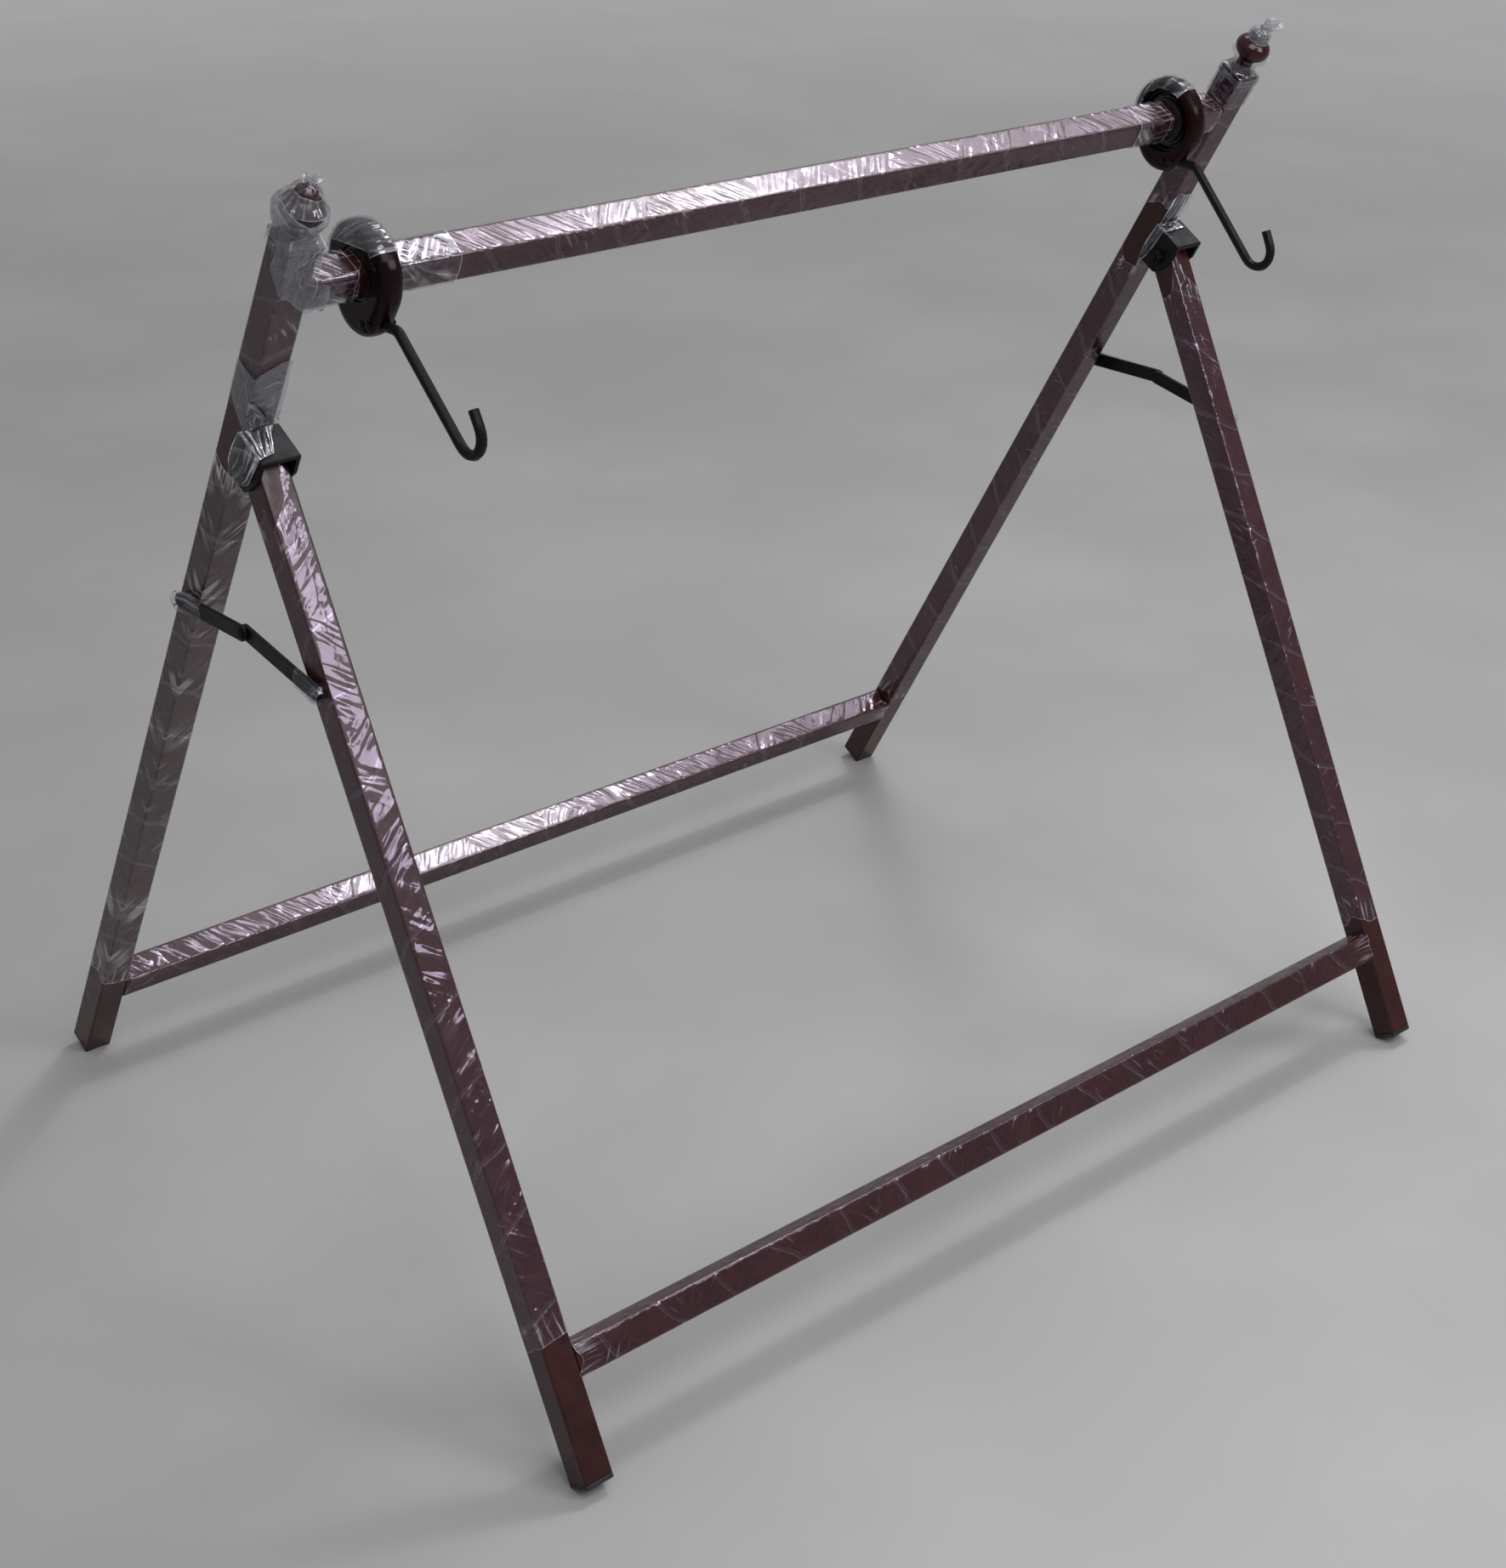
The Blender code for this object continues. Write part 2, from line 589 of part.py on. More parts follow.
def build_rivet(name, centre, seat, reach, shape, tail=False, owner=None):
    """A domed rivet along X: its head on the outer seat, its shank reaching in, and its tail."""
    radius, head_radius, head_height = shape
    profile = [(0.0, head_height)]
    for i in range(1, DOME_STEPS + 1):
        angle = pi / 2 * (1 - i / DOME_STEPS)
        profile.append((head_radius * cos(angle), head_height * sin(angle)))
    profile += [(radius, 0.0), (radius, -reach)]
    if tail:
        tail_radius = (radius + head_radius) / 2
        profile += [(tail_radius, -reach), (tail_radius * RIVET_TAIL_TAPER, -reach - RIVET_TAIL_HEIGHT)]
        profile.append((0.0, -reach - RIVET_TAIL_HEIGHT))
    else:
        profile.append((0.0, -reach))
    rivet = turned(name, profile, RIVET_STEPS)
    outward = along_x if seat > 0 else Matrix.Rotation(-pi / 2, 4, "Y")
    place(rivet, Matrix.Translation((seat, centre.y, centre.z)) @ outward, BLACK_PAINT, owner)


def build_washer(name, centre, x, length, owner=None):
    """A plain ring along X that keeps a link off the leg."""
    outlines = [circle(SPACER_RADIUS, HOLE_STEPS), circle(RIVET_RADIUS + CLEARANCE, HOLE_STEPS)]
    washer = outline_solid(name, outlines, length)
    place(washer, Matrix.Translation((x, centre.y, centre.z)) @ along_x, PLATED_STEEL, owner)


def build_stay(side, sign):
    upper_joint = joint_empty("stay_upper_joint_" + side, (sign * UPPER_LINK_X, STAY_TOP.y, STAY_TOP.z))
    knee_joint = joint_empty("stay_knee_joint_" + side, (sign * LOWER_LINK_X, KNEE.y, KNEE.z))
    build_link("stay_upper_link_" + side, STAY_TOP, KNEE, sign * UPPER_LINK_X, upper_joint)
    build_link("stay_lower_link_" + side, KNEE, STAY_FOOT, sign * LOWER_LINK_X, knee_joint)

    spacer_length = STAY_STANDOFF + CLEARANCE + LINK_THICKNESS
    build_washer("stay_spacer_" + side, STAY_TOP, sign * (WASHER_FACE_X + spacer_length / 2), spacer_length)
    washer_x = sign * (WASHER_FACE_X + STAY_STANDOFF / 2)
    build_washer("stay_washer_" + side, STAY_FOOT, washer_x, STAY_STANDOFF, knee_joint)

    upper_seat = UPPER_LINK_X + LINK_THICKNESS / 2 + CLEARANCE
    lower_seat = LOWER_LINK_X + LINK_THICKNESS / 2 + CLEARANCE
    lower_face = LOWER_LINK_X - LINK_THICKNESS / 2
    top_reach = upper_seat - LEG_OUTER_X + TUBE_WALL + CLEARANCE
    build_rivet("stay_top_rivet_" + side, STAY_TOP, sign * upper_seat, top_reach, STAY_RIVET, True)
    knee_reach = upper_seat - lower_face
    build_rivet("stay_knee_rivet_" + side, KNEE, sign * upper_seat, knee_reach, STAY_RIVET, False, knee_joint)
    foot = "stay_foot_rivet_" + side
    foot_reach = lower_seat - WASHER_FACE_X
    build_rivet(foot, STAY_FOOT, sign * lower_seat, foot_reach, STAY_RIVET, False, knee_joint)


# Hangers

COLLAR_RADIUS = (TUBE_WIDTH / 2 - TUBE_CORNER) * 2 ** 0.5 + TUBE_CORNER + CLEARANCE + COLLAR_WALL
INNER_RACE_BORE = COLLAR_RADIUS + CLEARANCE
INNER_RACE_RADIUS = INNER_RACE_BORE + RACE_WALL
BALL_PITCH = INNER_RACE_RADIUS - GROOVE_DEPTH + BALL_RADIUS + CLEARANCE
OUTER_RACE_BORE = BALL_PITCH + BALL_RADIUS + CLEARANCE - GROOVE_DEPTH
OUTER_RACE_RADIUS = OUTER_RACE_BORE + RACE_WALL
BEARING_SEAT = OUTER_RACE_RADIUS + CLEARANCE
WALL_HOLE = COLLAR_RADIUS + HINGE_PLAY
SEAT_FACE = HOUSING_THICKNESS / 2 - HOUSING_WALL


def hook_path():
    """The rod's centre line in the hanger's plane: root, bend, straight run and open hook."""
    along = Vector((-sin(HOOK_LEAN), -cos(HOOK_LEAN)))
    across = Vector((-cos(HOOK_LEAN), sin(HOOK_LEAN)))
    root = Vector((HOOK_ROOT_BACK, -HOOK_ROOT_DROP))
    bend = along * HOOK_BEND_FROM_AXIS
    points = [tuple(root)]
    points += fillet(bend, (root - bend).normalized(), along, HOOK_BEND_RADIUS, HOOK_BEND_STEPS)
    turn_centre = along * HOOK_STRAIGHT_END + across * HOOK_MOUTH_RADIUS
    for i in range(HOOK_TURN_STEPS + 1):
        angle = HOOK_TURN * i / HOOK_TURN_STEPS
        spoke = along * sin(angle) - across * cos(angle)
        points.append(tuple(turn_centre + spoke * HOOK_MOUTH_RADIUS))
    tip_run = along * cos(HOOK_TURN) + across * sin(HOOK_TURN)
    points.append(tuple(Vector(points[-1]) + tip_run * HOOK_TIP_LENGTH))
    return points


def hook_root_run():
    """The straight part of the rod inside the housing: its start and direction."""
    path = hook_path()
    start = Vector(path[0])
    return start, (Vector(path[1]) - start).normalized()


def build_housing(side, sign, frame, owner):
    """A rounded egg, walled on its outer side, with a bearing seat and a socket for the rod."""
    outline = egg(HOUSING_RADIUS, HOUSING_TIP_RADIUS, HOUSING_TIP_DROP, HOUSING_TIP_LEAN)
    housing = outline_solid("hanger_housing_" + side, [outline], HOUSING_THICKNESS, HOUSING_EDGE, 2)
    place(housing, frame, HANGER_PAINT, owner)
    past_face = HOUSING_THICKNESS
    seat_profile = [
        (0.0, past_face),
        (WALL_HOLE, past_face),
        (WALL_HOLE, SEAT_FACE),
        (BEARING_SEAT, SEAT_FACE),
        (BEARING_SEAT, -past_face),
        (0.0, -past_face),
    ]
    seat = turned("bearing_seat_" + side, seat_profile, SEAT_STEPS)
    outward = Matrix.Identity(4) if sign > 0 else Matrix.Rotation(pi, 4, "Y")
    combine(housing, seat, frame @ outward)
    start, direction = hook_root_run()
    socket_length = 2 * HOUSING_RADIUS
    socket = drill("rod_socket_" + side, HOOK_ROD_RADIUS + CLEARANCE, socket_length)
    middle = start + direction * (socket_length / 2 - CLEARANCE)
    to_rod = Vector((0, 0, 1)).rotation_difference(Vector((direction.x, direction.y, 0))).to_matrix().to_4x4()
    combine(housing, socket, frame @ Matrix.Translation((middle.x, middle.y, 0)) @ to_rod)
    for i, from_root in enumerate(HOOK_RIVETS_FROM_ROOT):
        spot = start + direction * from_root
        hole = drill(f"housing_rivet_hole_{i}_{side}", HOOK_RIVET_RADIUS + CLEARANCE, 2 * HOUSING_THICKNESS)
        combine(housing, hole, frame @ Matrix.Translation((spot.x, spot.y, 0)))


def build_hook(side, frame, owner):
    hook = rod("hanger_hook_" + side, [(y, z, 0.0) for y, z in hook_path()], HOOK_ROD_RADIUS)
    place(hook, frame, BLACK_PAINT, owner)
    start, direction = hook_root_run()
    for i, from_root in enumerate(HOOK_RIVETS_FROM_ROOT):
        spot = start + direction * from_root
        hole = drill(f"rod_rivet_hole_{i}_{side}", HOOK_RIVET_RADIUS + CLEARANCE, 4 * HOOK_ROD_RADIUS)
        combine(hook, hole, frame @ Matrix.Translation((spot.x, spot.y, 0)))


def build_hook_rivets(side, sign, frame, owner):
    """Two rivets through the housing and the rod's root."""
    start, direction = hook_root_run()
    seat = HANGER_X + HOUSING_THICKNESS / 2 + CLEARANCE
    reach = HOUSING_THICKNESS + 2 * CLEARANCE
    for position, from_root in zip(("inner", "outer"), HOOK_RIVETS_FROM_ROOT):
        spot = start + direction * from_root
        centre = frame @ Vector((spot.x, spot.y, 0))
        build_rivet(f"hook_rivet_{position}_{side}", centre, sign * seat, reach, HOOK_RIVET, True, owner)


def race_profile(inner_radius, outer_radius, groove_outside):
    """A ring with a shallow ball groove on one side, listed down its outer side."""
    half = RACE_WIDTH / 2
    groove_half = (2 * BALL_RADIUS * GROOVE_DEPTH - GROOVE_DEPTH ** 2) ** 0.5
    outer = [(outer_radius, half), (outer_radius, -half)]
    inner = [(inner_radius, -half), (inner_radius, half)]
    if groove_outside:
        depth = outer_radius - GROOVE_DEPTH
        outer[1:1] = [(outer_radius, groove_half), (depth, 0.0), (outer_radius, -groove_half)]
    else:
        depth = inner_radius + GROOVE_DEPTH
        inner[1:1] = [(inner_radius, -groove_half), (depth, 0.0), (inner_radius, groove_half)]
    return outer + inner


def build_bearing(side, sign, owner):
    """A thin ball bearing: a collar that fits the square bar, two races and caged balls."""
    at_bar = Matrix.Translation((sign * HANGER_X, BAR_AXIS.y, BAR_AXIS.z))
    race_x = sign * (HANGER_X + SEAT_FACE - CLEARANCE - RACE_WIDTH / 2)
    at_race = Matrix.Translation((race_x, BAR_AXIS.y, BAR_AXIS.z)) @ along_x
    bar_hole = TUBE_WIDTH + 2 * CLEARANCE
    outlines = [
        circle(COLLAR_RADIUS, ROUND_STEPS),
        rounded_rectangle(bar_hole, bar_hole, TUBE_CORNER + CLEARANCE),
    ]
    collar = outline_solid("hanger_collar_" + side, outlines, COLLAR_LENGTH)
    place(collar, at_bar @ back_turn @ along_x, BLACK_PLASTIC)
    inner_profile = race_profile(INNER_RACE_BORE, INNER_RACE_RADIUS, True)
    inner = turned("inner_race_" + side, inner_profile, ROUND_STEPS, True)
    place(inner, at_race, BEARING_STEEL)
    outer_profile = race_profile(OUTER_RACE_BORE, OUTER_RACE_RADIUS, False)
    outer = turned("outer_race_" + side, outer_profile, ROUND_STEPS, True)
    place(outer, at_race, BEARING_STEEL, owner)
    build_cage(side, at_race, owner)
    retainer_bore = OUTER_RACE_RADIUS - RETAINER_LIP
    retainer_outlines = [circle(OUTER_RACE_RADIUS, ROUND_STEPS), circle(retainer_bore, ROUND_STEPS)]
    retainer = outline_solid("bearing_retainer_" + side, retainer_outlines, RETAINER_THICKNESS)
    retainer_x = race_x - sign * (RACE_WIDTH / 2 + CLEARANCE + RETAINER_THICKNESS / 2)
    at_retainer = Matrix.Translation((retainer_x, BAR_AXIS.y, BAR_AXIS.z))
    place(retainer, at_retainer @ along_x, BLACK_PAINT, owner)


def build_cage(side, at_race, owner):
    """The bearing's balls, carried in their cage ring as one piece."""
    outlines = [
        circle(BALL_PITCH + CAGE_WALL / 2, 2 * BALL_COUNT),
        circle(BALL_PITCH - CAGE_WALL / 2, 2 * BALL_COUNT),
    ]
    cage = outline_solid("ball_cage_" + side, outlines, CAGE_WIDTH)
    place(cage, at_race, BEARING_STEEL, owner)
    mesh = bpy.data.meshes.new("balls_" + side)
    shape = bmesh.new()
    for i in range(BALL_COUNT):
        angle = 2 * pi * i / BALL_COUNT
        centre = Matrix.Translation((BALL_PITCH * cos(angle), BALL_PITCH * sin(angle), 0))
        facets = {"u_segments": BALL_SEGMENTS, "v_segments": BALL_SEGMENTS}
        bmesh.ops.create_uvsphere(shape, radius=BALL_RADIUS, matrix=centre, **facets)
    shape.to_mesh(mesh)
    shape.free()
    combine(cage, bpy.data.objects.new("balls_" + side, mesh), at_race, "UNION")


def build_hanger(side, sign):
    centre = Vector((sign * HANGER_X, BAR_AXIS.y, BAR_AXIS.z))
    swing = joint_empty("hanger_swing_" + side, centre)
    frame = Matrix.Translation(centre) @ Matrix.Rotation(-HANGER_SWING[side], 4, "X") @ ACROSS
    build_housing(side, sign, frame, swing)
    build_hook(side, frame, swing)
    build_hook_rivets(side, sign, frame, swing)
    build_bearing(side, sign, swing)


# The stand

front_fold = joint_empty("front_fold", HINGE)

for side, sign in SIDES.items():
    build_back_leg(side, sign)
    build_finial(side, sign)
    build_foot_cap("back_foot_cap_" + side, back_point(0.0, sign * LEG_X), back_turn)
    build_front_leg(side, sign, front_fold)
    build_foot_cap("front_foot_cap_" + side, front_point(0.0, sign * LEG_X), front_turn, front_fold)
    build_bracket(side, sign)
    build_hinge_bolt(side, sign)
    build_hinge_bush(side, sign, front_fold)
    build_stay(side, sign)
    build_hanger(side, sign)

build_cross_tube("top_bar", BAR_AXIS, back_turn)
build_cross_tube("back_rail", back_point(RAIL_FROM_FOOT), back_turn)
build_cross_tube("front_rail", front_point(RAIL_FROM_FOOT), front_turn, front_fold)
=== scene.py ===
import json
from math import cos, pi, radians, sin, tau

import bmesh
import bpy
import numpy as np
from mathutils import Matrix, Vector


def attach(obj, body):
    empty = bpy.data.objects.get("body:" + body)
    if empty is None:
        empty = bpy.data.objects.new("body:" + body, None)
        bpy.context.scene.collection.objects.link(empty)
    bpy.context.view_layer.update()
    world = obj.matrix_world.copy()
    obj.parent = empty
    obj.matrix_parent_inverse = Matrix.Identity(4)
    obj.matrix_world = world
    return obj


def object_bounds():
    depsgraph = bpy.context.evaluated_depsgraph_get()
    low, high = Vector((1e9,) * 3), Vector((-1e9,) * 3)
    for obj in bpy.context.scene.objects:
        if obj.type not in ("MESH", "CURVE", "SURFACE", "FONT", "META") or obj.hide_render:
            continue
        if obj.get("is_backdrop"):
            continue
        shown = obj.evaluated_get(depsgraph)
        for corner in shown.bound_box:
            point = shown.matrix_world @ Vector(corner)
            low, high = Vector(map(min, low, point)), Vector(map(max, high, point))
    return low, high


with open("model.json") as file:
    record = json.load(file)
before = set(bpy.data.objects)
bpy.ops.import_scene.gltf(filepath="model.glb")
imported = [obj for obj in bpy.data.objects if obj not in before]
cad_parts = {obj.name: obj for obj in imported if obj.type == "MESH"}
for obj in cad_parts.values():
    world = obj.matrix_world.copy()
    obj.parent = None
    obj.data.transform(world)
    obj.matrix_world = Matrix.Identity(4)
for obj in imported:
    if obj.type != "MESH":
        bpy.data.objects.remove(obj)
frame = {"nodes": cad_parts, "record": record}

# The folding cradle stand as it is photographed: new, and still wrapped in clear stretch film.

scene = bpy.context.scene
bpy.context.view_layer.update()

# Sizes and places on the stand, in metres. A name that ends in AT is a place up a leg from its sole.
TUBE = 0.025
CORNER = 0.0015
TILT = radians(28.46)
LEG_X = 0.48325
LEG_INNER_X = 0.47075
SOLE_Y = 0.389977
SOLE_Z = 0.005576
PIVOT_AT = 0.7988
PIVOT_FORWARD = 0.030
BAR_AT = 0.945
RAIL_AT = 0.0918
STAY_TOP_AT = 0.6300
STAY_FOOT_AT = 0.6190
KNEE = np.array((0.0, -0.001119, 0.564212))
UPPER_LINK_FACE_X = 0.50315
LOWER_LINK_FACE_X = 0.49985
HANGER_X = 0.41775
HOUSING_HALF = 0.0095
HOUSING_RADIUS = 0.0375
HOUSING_EDGE = 0.0068
LEFT, RIGHT = -1, 1
SIDES = {"left": LEFT, "right": RIGHT}

# How far each hanger is turned on the bar
SWING = {"left": radians(1.9), "right": radians(-2.1)}

X_AXIS = np.array((1.0, 0.0, 0.0))
BACK_UP = np.array((0.0, -sin(TILT), cos(TILT)))
BACK_FRONT = np.array((0.0, -cos(TILT), -sin(TILT)))
FRONT_UP = np.array((0.0, sin(TILT), cos(TILT)))
FRONT_FRONT = np.array((0.0, -cos(TILT), sin(TILT)))


def back_point(along, x=0.0):
    return np.array((x, SOLE_Y, SOLE_Z)) + along * BACK_UP


def front_point(along, x=0.0):
    return np.array((x, -SOLE_Y, SOLE_Z)) + along * FRONT_UP


def on_back_leg(sign, out, forward, along, foot=0.0):
    """Points by a back leg: outward from its middle, forward of its axis, and up from foot."""
    x = sign * (LEG_X + out)
    level = x[..., None] * X_AXIS + forward[..., None] * BACK_FRONT
    return back_point(foot) + level + along[..., None] * BACK_UP


# Noise that shapes the film
HASH_X, HASH_Y, HASH_SEED, HASH_STIR = 374761393, 668265263, 974711, 1274126177
HASH_MASK = 0xFFFFFFFF


def lattice(ix, iy, seed):
    """A repeatable number from -1 to 1 for each lattice point."""
    h = (ix.astype(np.int64) * HASH_X + iy.astype(np.int64) * HASH_Y + seed * HASH_SEED) & HASH_MASK
    h = ((h ^ (h >> 13)) * HASH_STIR) & HASH_MASK
    h = h ^ (h >> 16)
    return (h & 0xFFFF) / 32767.5 - 1.0


def noise(x, y, seed):
    """Smooth noise from -1 to 1."""
    x, y = np.broadcast_arrays(np.asarray(x, float), np.asarray(y, float))
    ix, iy = np.floor(x), np.floor(y)
    fx, fy = x - ix, y - iy
    fx, fy = fx * fx * (3 - 2 * fx), fy * fy * (3 - 2 * fy)
    low = lattice(ix, iy, seed) * (1 - fx) + lattice(ix + 1, iy, seed) * fx
    high = lattice(ix, iy + 1, seed) * (1 - fx) + lattice(ix + 1, iy + 1, seed) * fx
    return low * (1 - fy) + high * fy


def folds(along, across, angle, width, length, seed):
    """Creases from 0 to 1 that run at an angle to the tube: sharp ridges with soft valleys."""
    a = along * cos(angle) + across * sin(angle)
    b = across * cos(angle) - along * sin(angle)
    bend = 0.35 * noise(a / (4 * width), b / length, seed + 7)
    return 1 - np.abs(noise(a / width + bend, b / length, seed))


def pleats(turns, seed, drift=0.0):
    """Uneven ridges along one direction, from 0 to 1."""
    return 1 - np.abs(noise(turns, drift, seed))


def smoothstep(low, high, value):
    t = np.clip((value - low) / (high - low), 0, 1)
    return t * t * (3 - 2 * t)


# Meshes from grids


def uv_grid(along, across):
    """A sheet's flat coordinates, a pair for each of its points."""
    return np.stack(np.broadcast_arrays(along, across), axis=2)


def edge_distance(points, close):
    """How far each point lies from the sheet's free edges, measured on the sheet."""
    steps = np.linalg.norm(np.diff(points, axis=0), axis=2)
    walked = np.concatenate((np.zeros((1, points.shape[1])), np.cumsum(steps, axis=0)))
    reach = np.minimum(walked, walked[-1:] - walked)
    if not close:
        steps = np.linalg.norm(np.diff(points, axis=1), axis=2)
        walked = np.concatenate((np.zeros((points.shape[0], 1)), np.cumsum(steps, axis=1)), axis=1)
        reach = np.minimum(reach, np.minimum(walked, walked[:, -1:] - walked))
    return reach


def grid_piece(name, points, uv, body, material, close=False, keep=None):
    """A sheet from a grid of points that rides on a body. Its flat coordinates in metres are one UV map, and
    its distance from the free edges is another. A closed sheet joins its last column to its first, and keep
    says which cells have a face."""
    rows, columns = points.shape[:2]
    wrap = columns if close else columns - 1
    faces = []
    for i in range(rows - 1):
        for j in range(wrap):
            k = (j + 1) % columns
            if keep is None or keep[i, j]:
                faces.append((i * columns + j, i * columns + k, (i + 1) * columns + k, (i + 1) * columns + j))
    mesh = bpy.data.meshes.new(name)
    mesh.from_pydata(points.reshape(-1, 3).tolist(), [], faces)
    film, rim = mesh.uv_layers.new(name="film"), mesh.uv_layers.new(name="rim")
    flat = uv.reshape(-1, 2)
    inset = edge_distance(points, close).reshape(-1)
    last = flat[:, 1].max()
    step = (last - flat[:, 1].min()) / (columns - 1)
    for polygon in mesh.polygons:
        ring = [mesh.loops[l].vertex_index for l in polygon.loop_indices]
        place = [v % columns for v in ring]
        seam = close and max(place) == columns - 1 and min(place) == 0
        for l, v in zip(polygon.loop_indices, ring):
            across = last + step if seam and v % columns == 0 else flat[v, 1]
            film.data[l].uv = (flat[v, 0], across)
            rim.data[l].uv = (inset[v], 0.0)
    shape = bmesh.new()
    shape.from_mesh(mesh)
    lone = [v for v in shape.verts if not v.link_faces]
    bmesh.ops.delete(shape, geom=lone, context="VERTS")
    shape.to_mesh(mesh)
    shape.free()
    for polygon in mesh.polygons:
        polygon.use_smooth = True
    mesh.materials.append(material)
    piece = bpy.data.objects.new(name, mesh)
    scene.collection.objects.link(piece)
    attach(piece, body)
    return piece


# Shader nodes


def new_material(name):
    material = bpy.data.materials.new(name)
    material.use_nodes = True
    tree = material.node_tree
    shader = tree.nodes["Principled BSDF"]
    return material, tree, shader


def node(tree, kind, inputs=None, **settings):
    """A node with its settings, and with each input linked to a socket or set to a value."""
    made = tree.nodes.new(kind)
    for key, value in settings.items():
        setattr(made, key, value)
    for key, value in (inputs or {}).items():
        if isinstance(value, bpy.types.NodeSocket):
            tree.links.new(value, made.inputs[key])
        else:
            made.inputs[key].default_value = value
    return made


def math_node(tree, operation, a, b, clamp=False):
    return node(tree, "ShaderNodeMath", {0: a, 1: b}, operation=operation, use_clamp=clamp).outputs[0]


def vector_node(tree, operation, inputs):
    return node(tree, "ShaderNodeVectorMath", inputs, operation=operation).outputs["Vector"]


def ramp(tree, value, low, high, low_out=0.0, high_out=1.0):
    inputs = {"Value": value, "From Min": low, "From Max": high, "To Min": low_out, "To Max": high_out}
    return node(tree, "ShaderNodeMapRange", inputs, interpolation_type="SMOOTHSTEP").outputs["Result"]


def colour_mix(tree, factor, first, second):
    made = node(tree, "ShaderNodeMix", {"Factor": factor}, data_type="RGBA")
    for socket, value in (("A", first), ("B", second)):
        target = [s for s in made.inputs if s.name == socket and s.type == "RGBA"][0]
        if isinstance(value, bpy.types.NodeSocket):
            tree.links.new(value, target)
        else:
            target.default_value = (*value, 1.0)
    return [s for s in made.outputs if s.type == "RGBA"][0]


def noise_node(tree, vector, scale, detail=3.0, roughness=0.5):
    inputs = {"Vector": vector, "Scale": scale, "Detail": detail, "Roughness": roughness}
    return node(tree, "ShaderNodeTexNoise", inputs).outputs["Fac"]


def bump(tree, height, strength, distance, normal=None):
    inputs = {"Height": height, "Strength": strength, "Distance": distance}
    if normal is not None:
        inputs["Normal"] = normal
    return node(tree, "ShaderNodeBump", inputs).outputs["Normal"]


def rounded(tree, radius):
    """A normal that is smooth over the facets and edges of a solid."""
    return node(tree, "ShaderNodeBevel", {"Radius": radius}, samples=4).outputs["Normal"]


# Materials of the solids. The scales are in features per metre, and the depths in metres.
PAINT_MOTTLE, PAINT_PATCHES, PAINT_DUST, PAINT_PEEL = 38.0, 90.0, 420.0, 620.0
PEEL_DEPTH, DUST_COLOUR, COAT_ROUGHNESS = 0.0004, (0.36, 0.33, 0.31), 0.06
PLASTIC_PATCHES, PLASTIC_SCUFFS, GRAIN_DEPTH = 60.0, 150.0, 0.0003
STEEL_CLOUD, STEEL_SCRATCHES, SCRATCH_DEPTH = 210.0, (2600.0, 160.0, 160.0), 0.0002


def paint(name, colour, deep, roughness, gloss, coat, soften, dust, peel=0.15):
    """Sprayed enamel: a little mottle in its colour, orange peel, and fine dust on what faces up."""
    material, tree, shader = new_material(name)
    where = node(tree, "ShaderNodeTexCoord").outputs["Object"]
    mottle = ramp(tree, noise_node(tree, where, PAINT_MOTTLE, 4.0), 0.35, 0.7)
    body = colour_mix(tree, mottle, deep, colour)
    facing = node(tree, "ShaderNodeNewGeometry").outputs["Normal"]
    up = node(tree, "ShaderNodeSeparateXYZ", {"Vector": facing}).outputs["Z"]
    specks = ramp(tree, noise_node(tree, where, PAINT_DUST, 5.0, 0.7), 0.5, 0.75, 0.0, dust)
    settled = math_node(tree, "MULTIPLY", ramp(tree, up, 0.3, 1.0), specks)
    tree.links.new(colour_mix(tree, settled, body, DUST_COLOUR), shader.inputs["Base Color"])
    patches = noise_node(tree, where, PAINT_PATCHES, 4.0)
    patchy = ramp(tree, patches, 0.3, 0.75, roughness * 0.8, roughness * 1.35)
    tree.links.new(patchy, shader.inputs["Roughness"])
    shader.inputs["Specular IOR Level"].default_value = gloss
    shader.inputs["Coat Weight"].default_value = coat
    shader.inputs["Coat Roughness"].default_value = COAT_ROUGHNESS
    grain = noise_node(tree, where, PAINT_PEEL, 2.0)
    tree.links.new(bump(tree, grain, peel, PEEL_DEPTH, rounded(tree, soften)), shader.inputs["Normal"])
    return material


def plastic(name, colour, worn, roughness, gloss, grain, strength, soften):
    """Moulded plastic with a fine spark-eroded grain and paler scuffs."""
    material, tree, shader = new_material(name)
    where = node(tree, "ShaderNodeTexCoord").outputs["Object"]
    scuff = ramp(tree, noise_node(tree, where, PLASTIC_SCUFFS, 6.0, 0.7), 0.55, 0.75)
    tree.links.new(colour_mix(tree, scuff, colour, worn), shader.inputs["Base Color"])
    patches = noise_node(tree, where, PLASTIC_PATCHES, 3.0)
    patchy = ramp(tree, patches, 0.3, 0.7, roughness * 0.85, roughness * 1.2)
    tree.links.new(patchy, shader.inputs["Roughness"])
    shader.inputs["Specular IOR Level"].default_value = gloss
    pits = noise_node(tree, where, grain, 2.0)
    tree.links.new(bump(tree, pits, strength, GRAIN_DEPTH, rounded(tree, soften)), shader.inputs["Normal"])
    return material


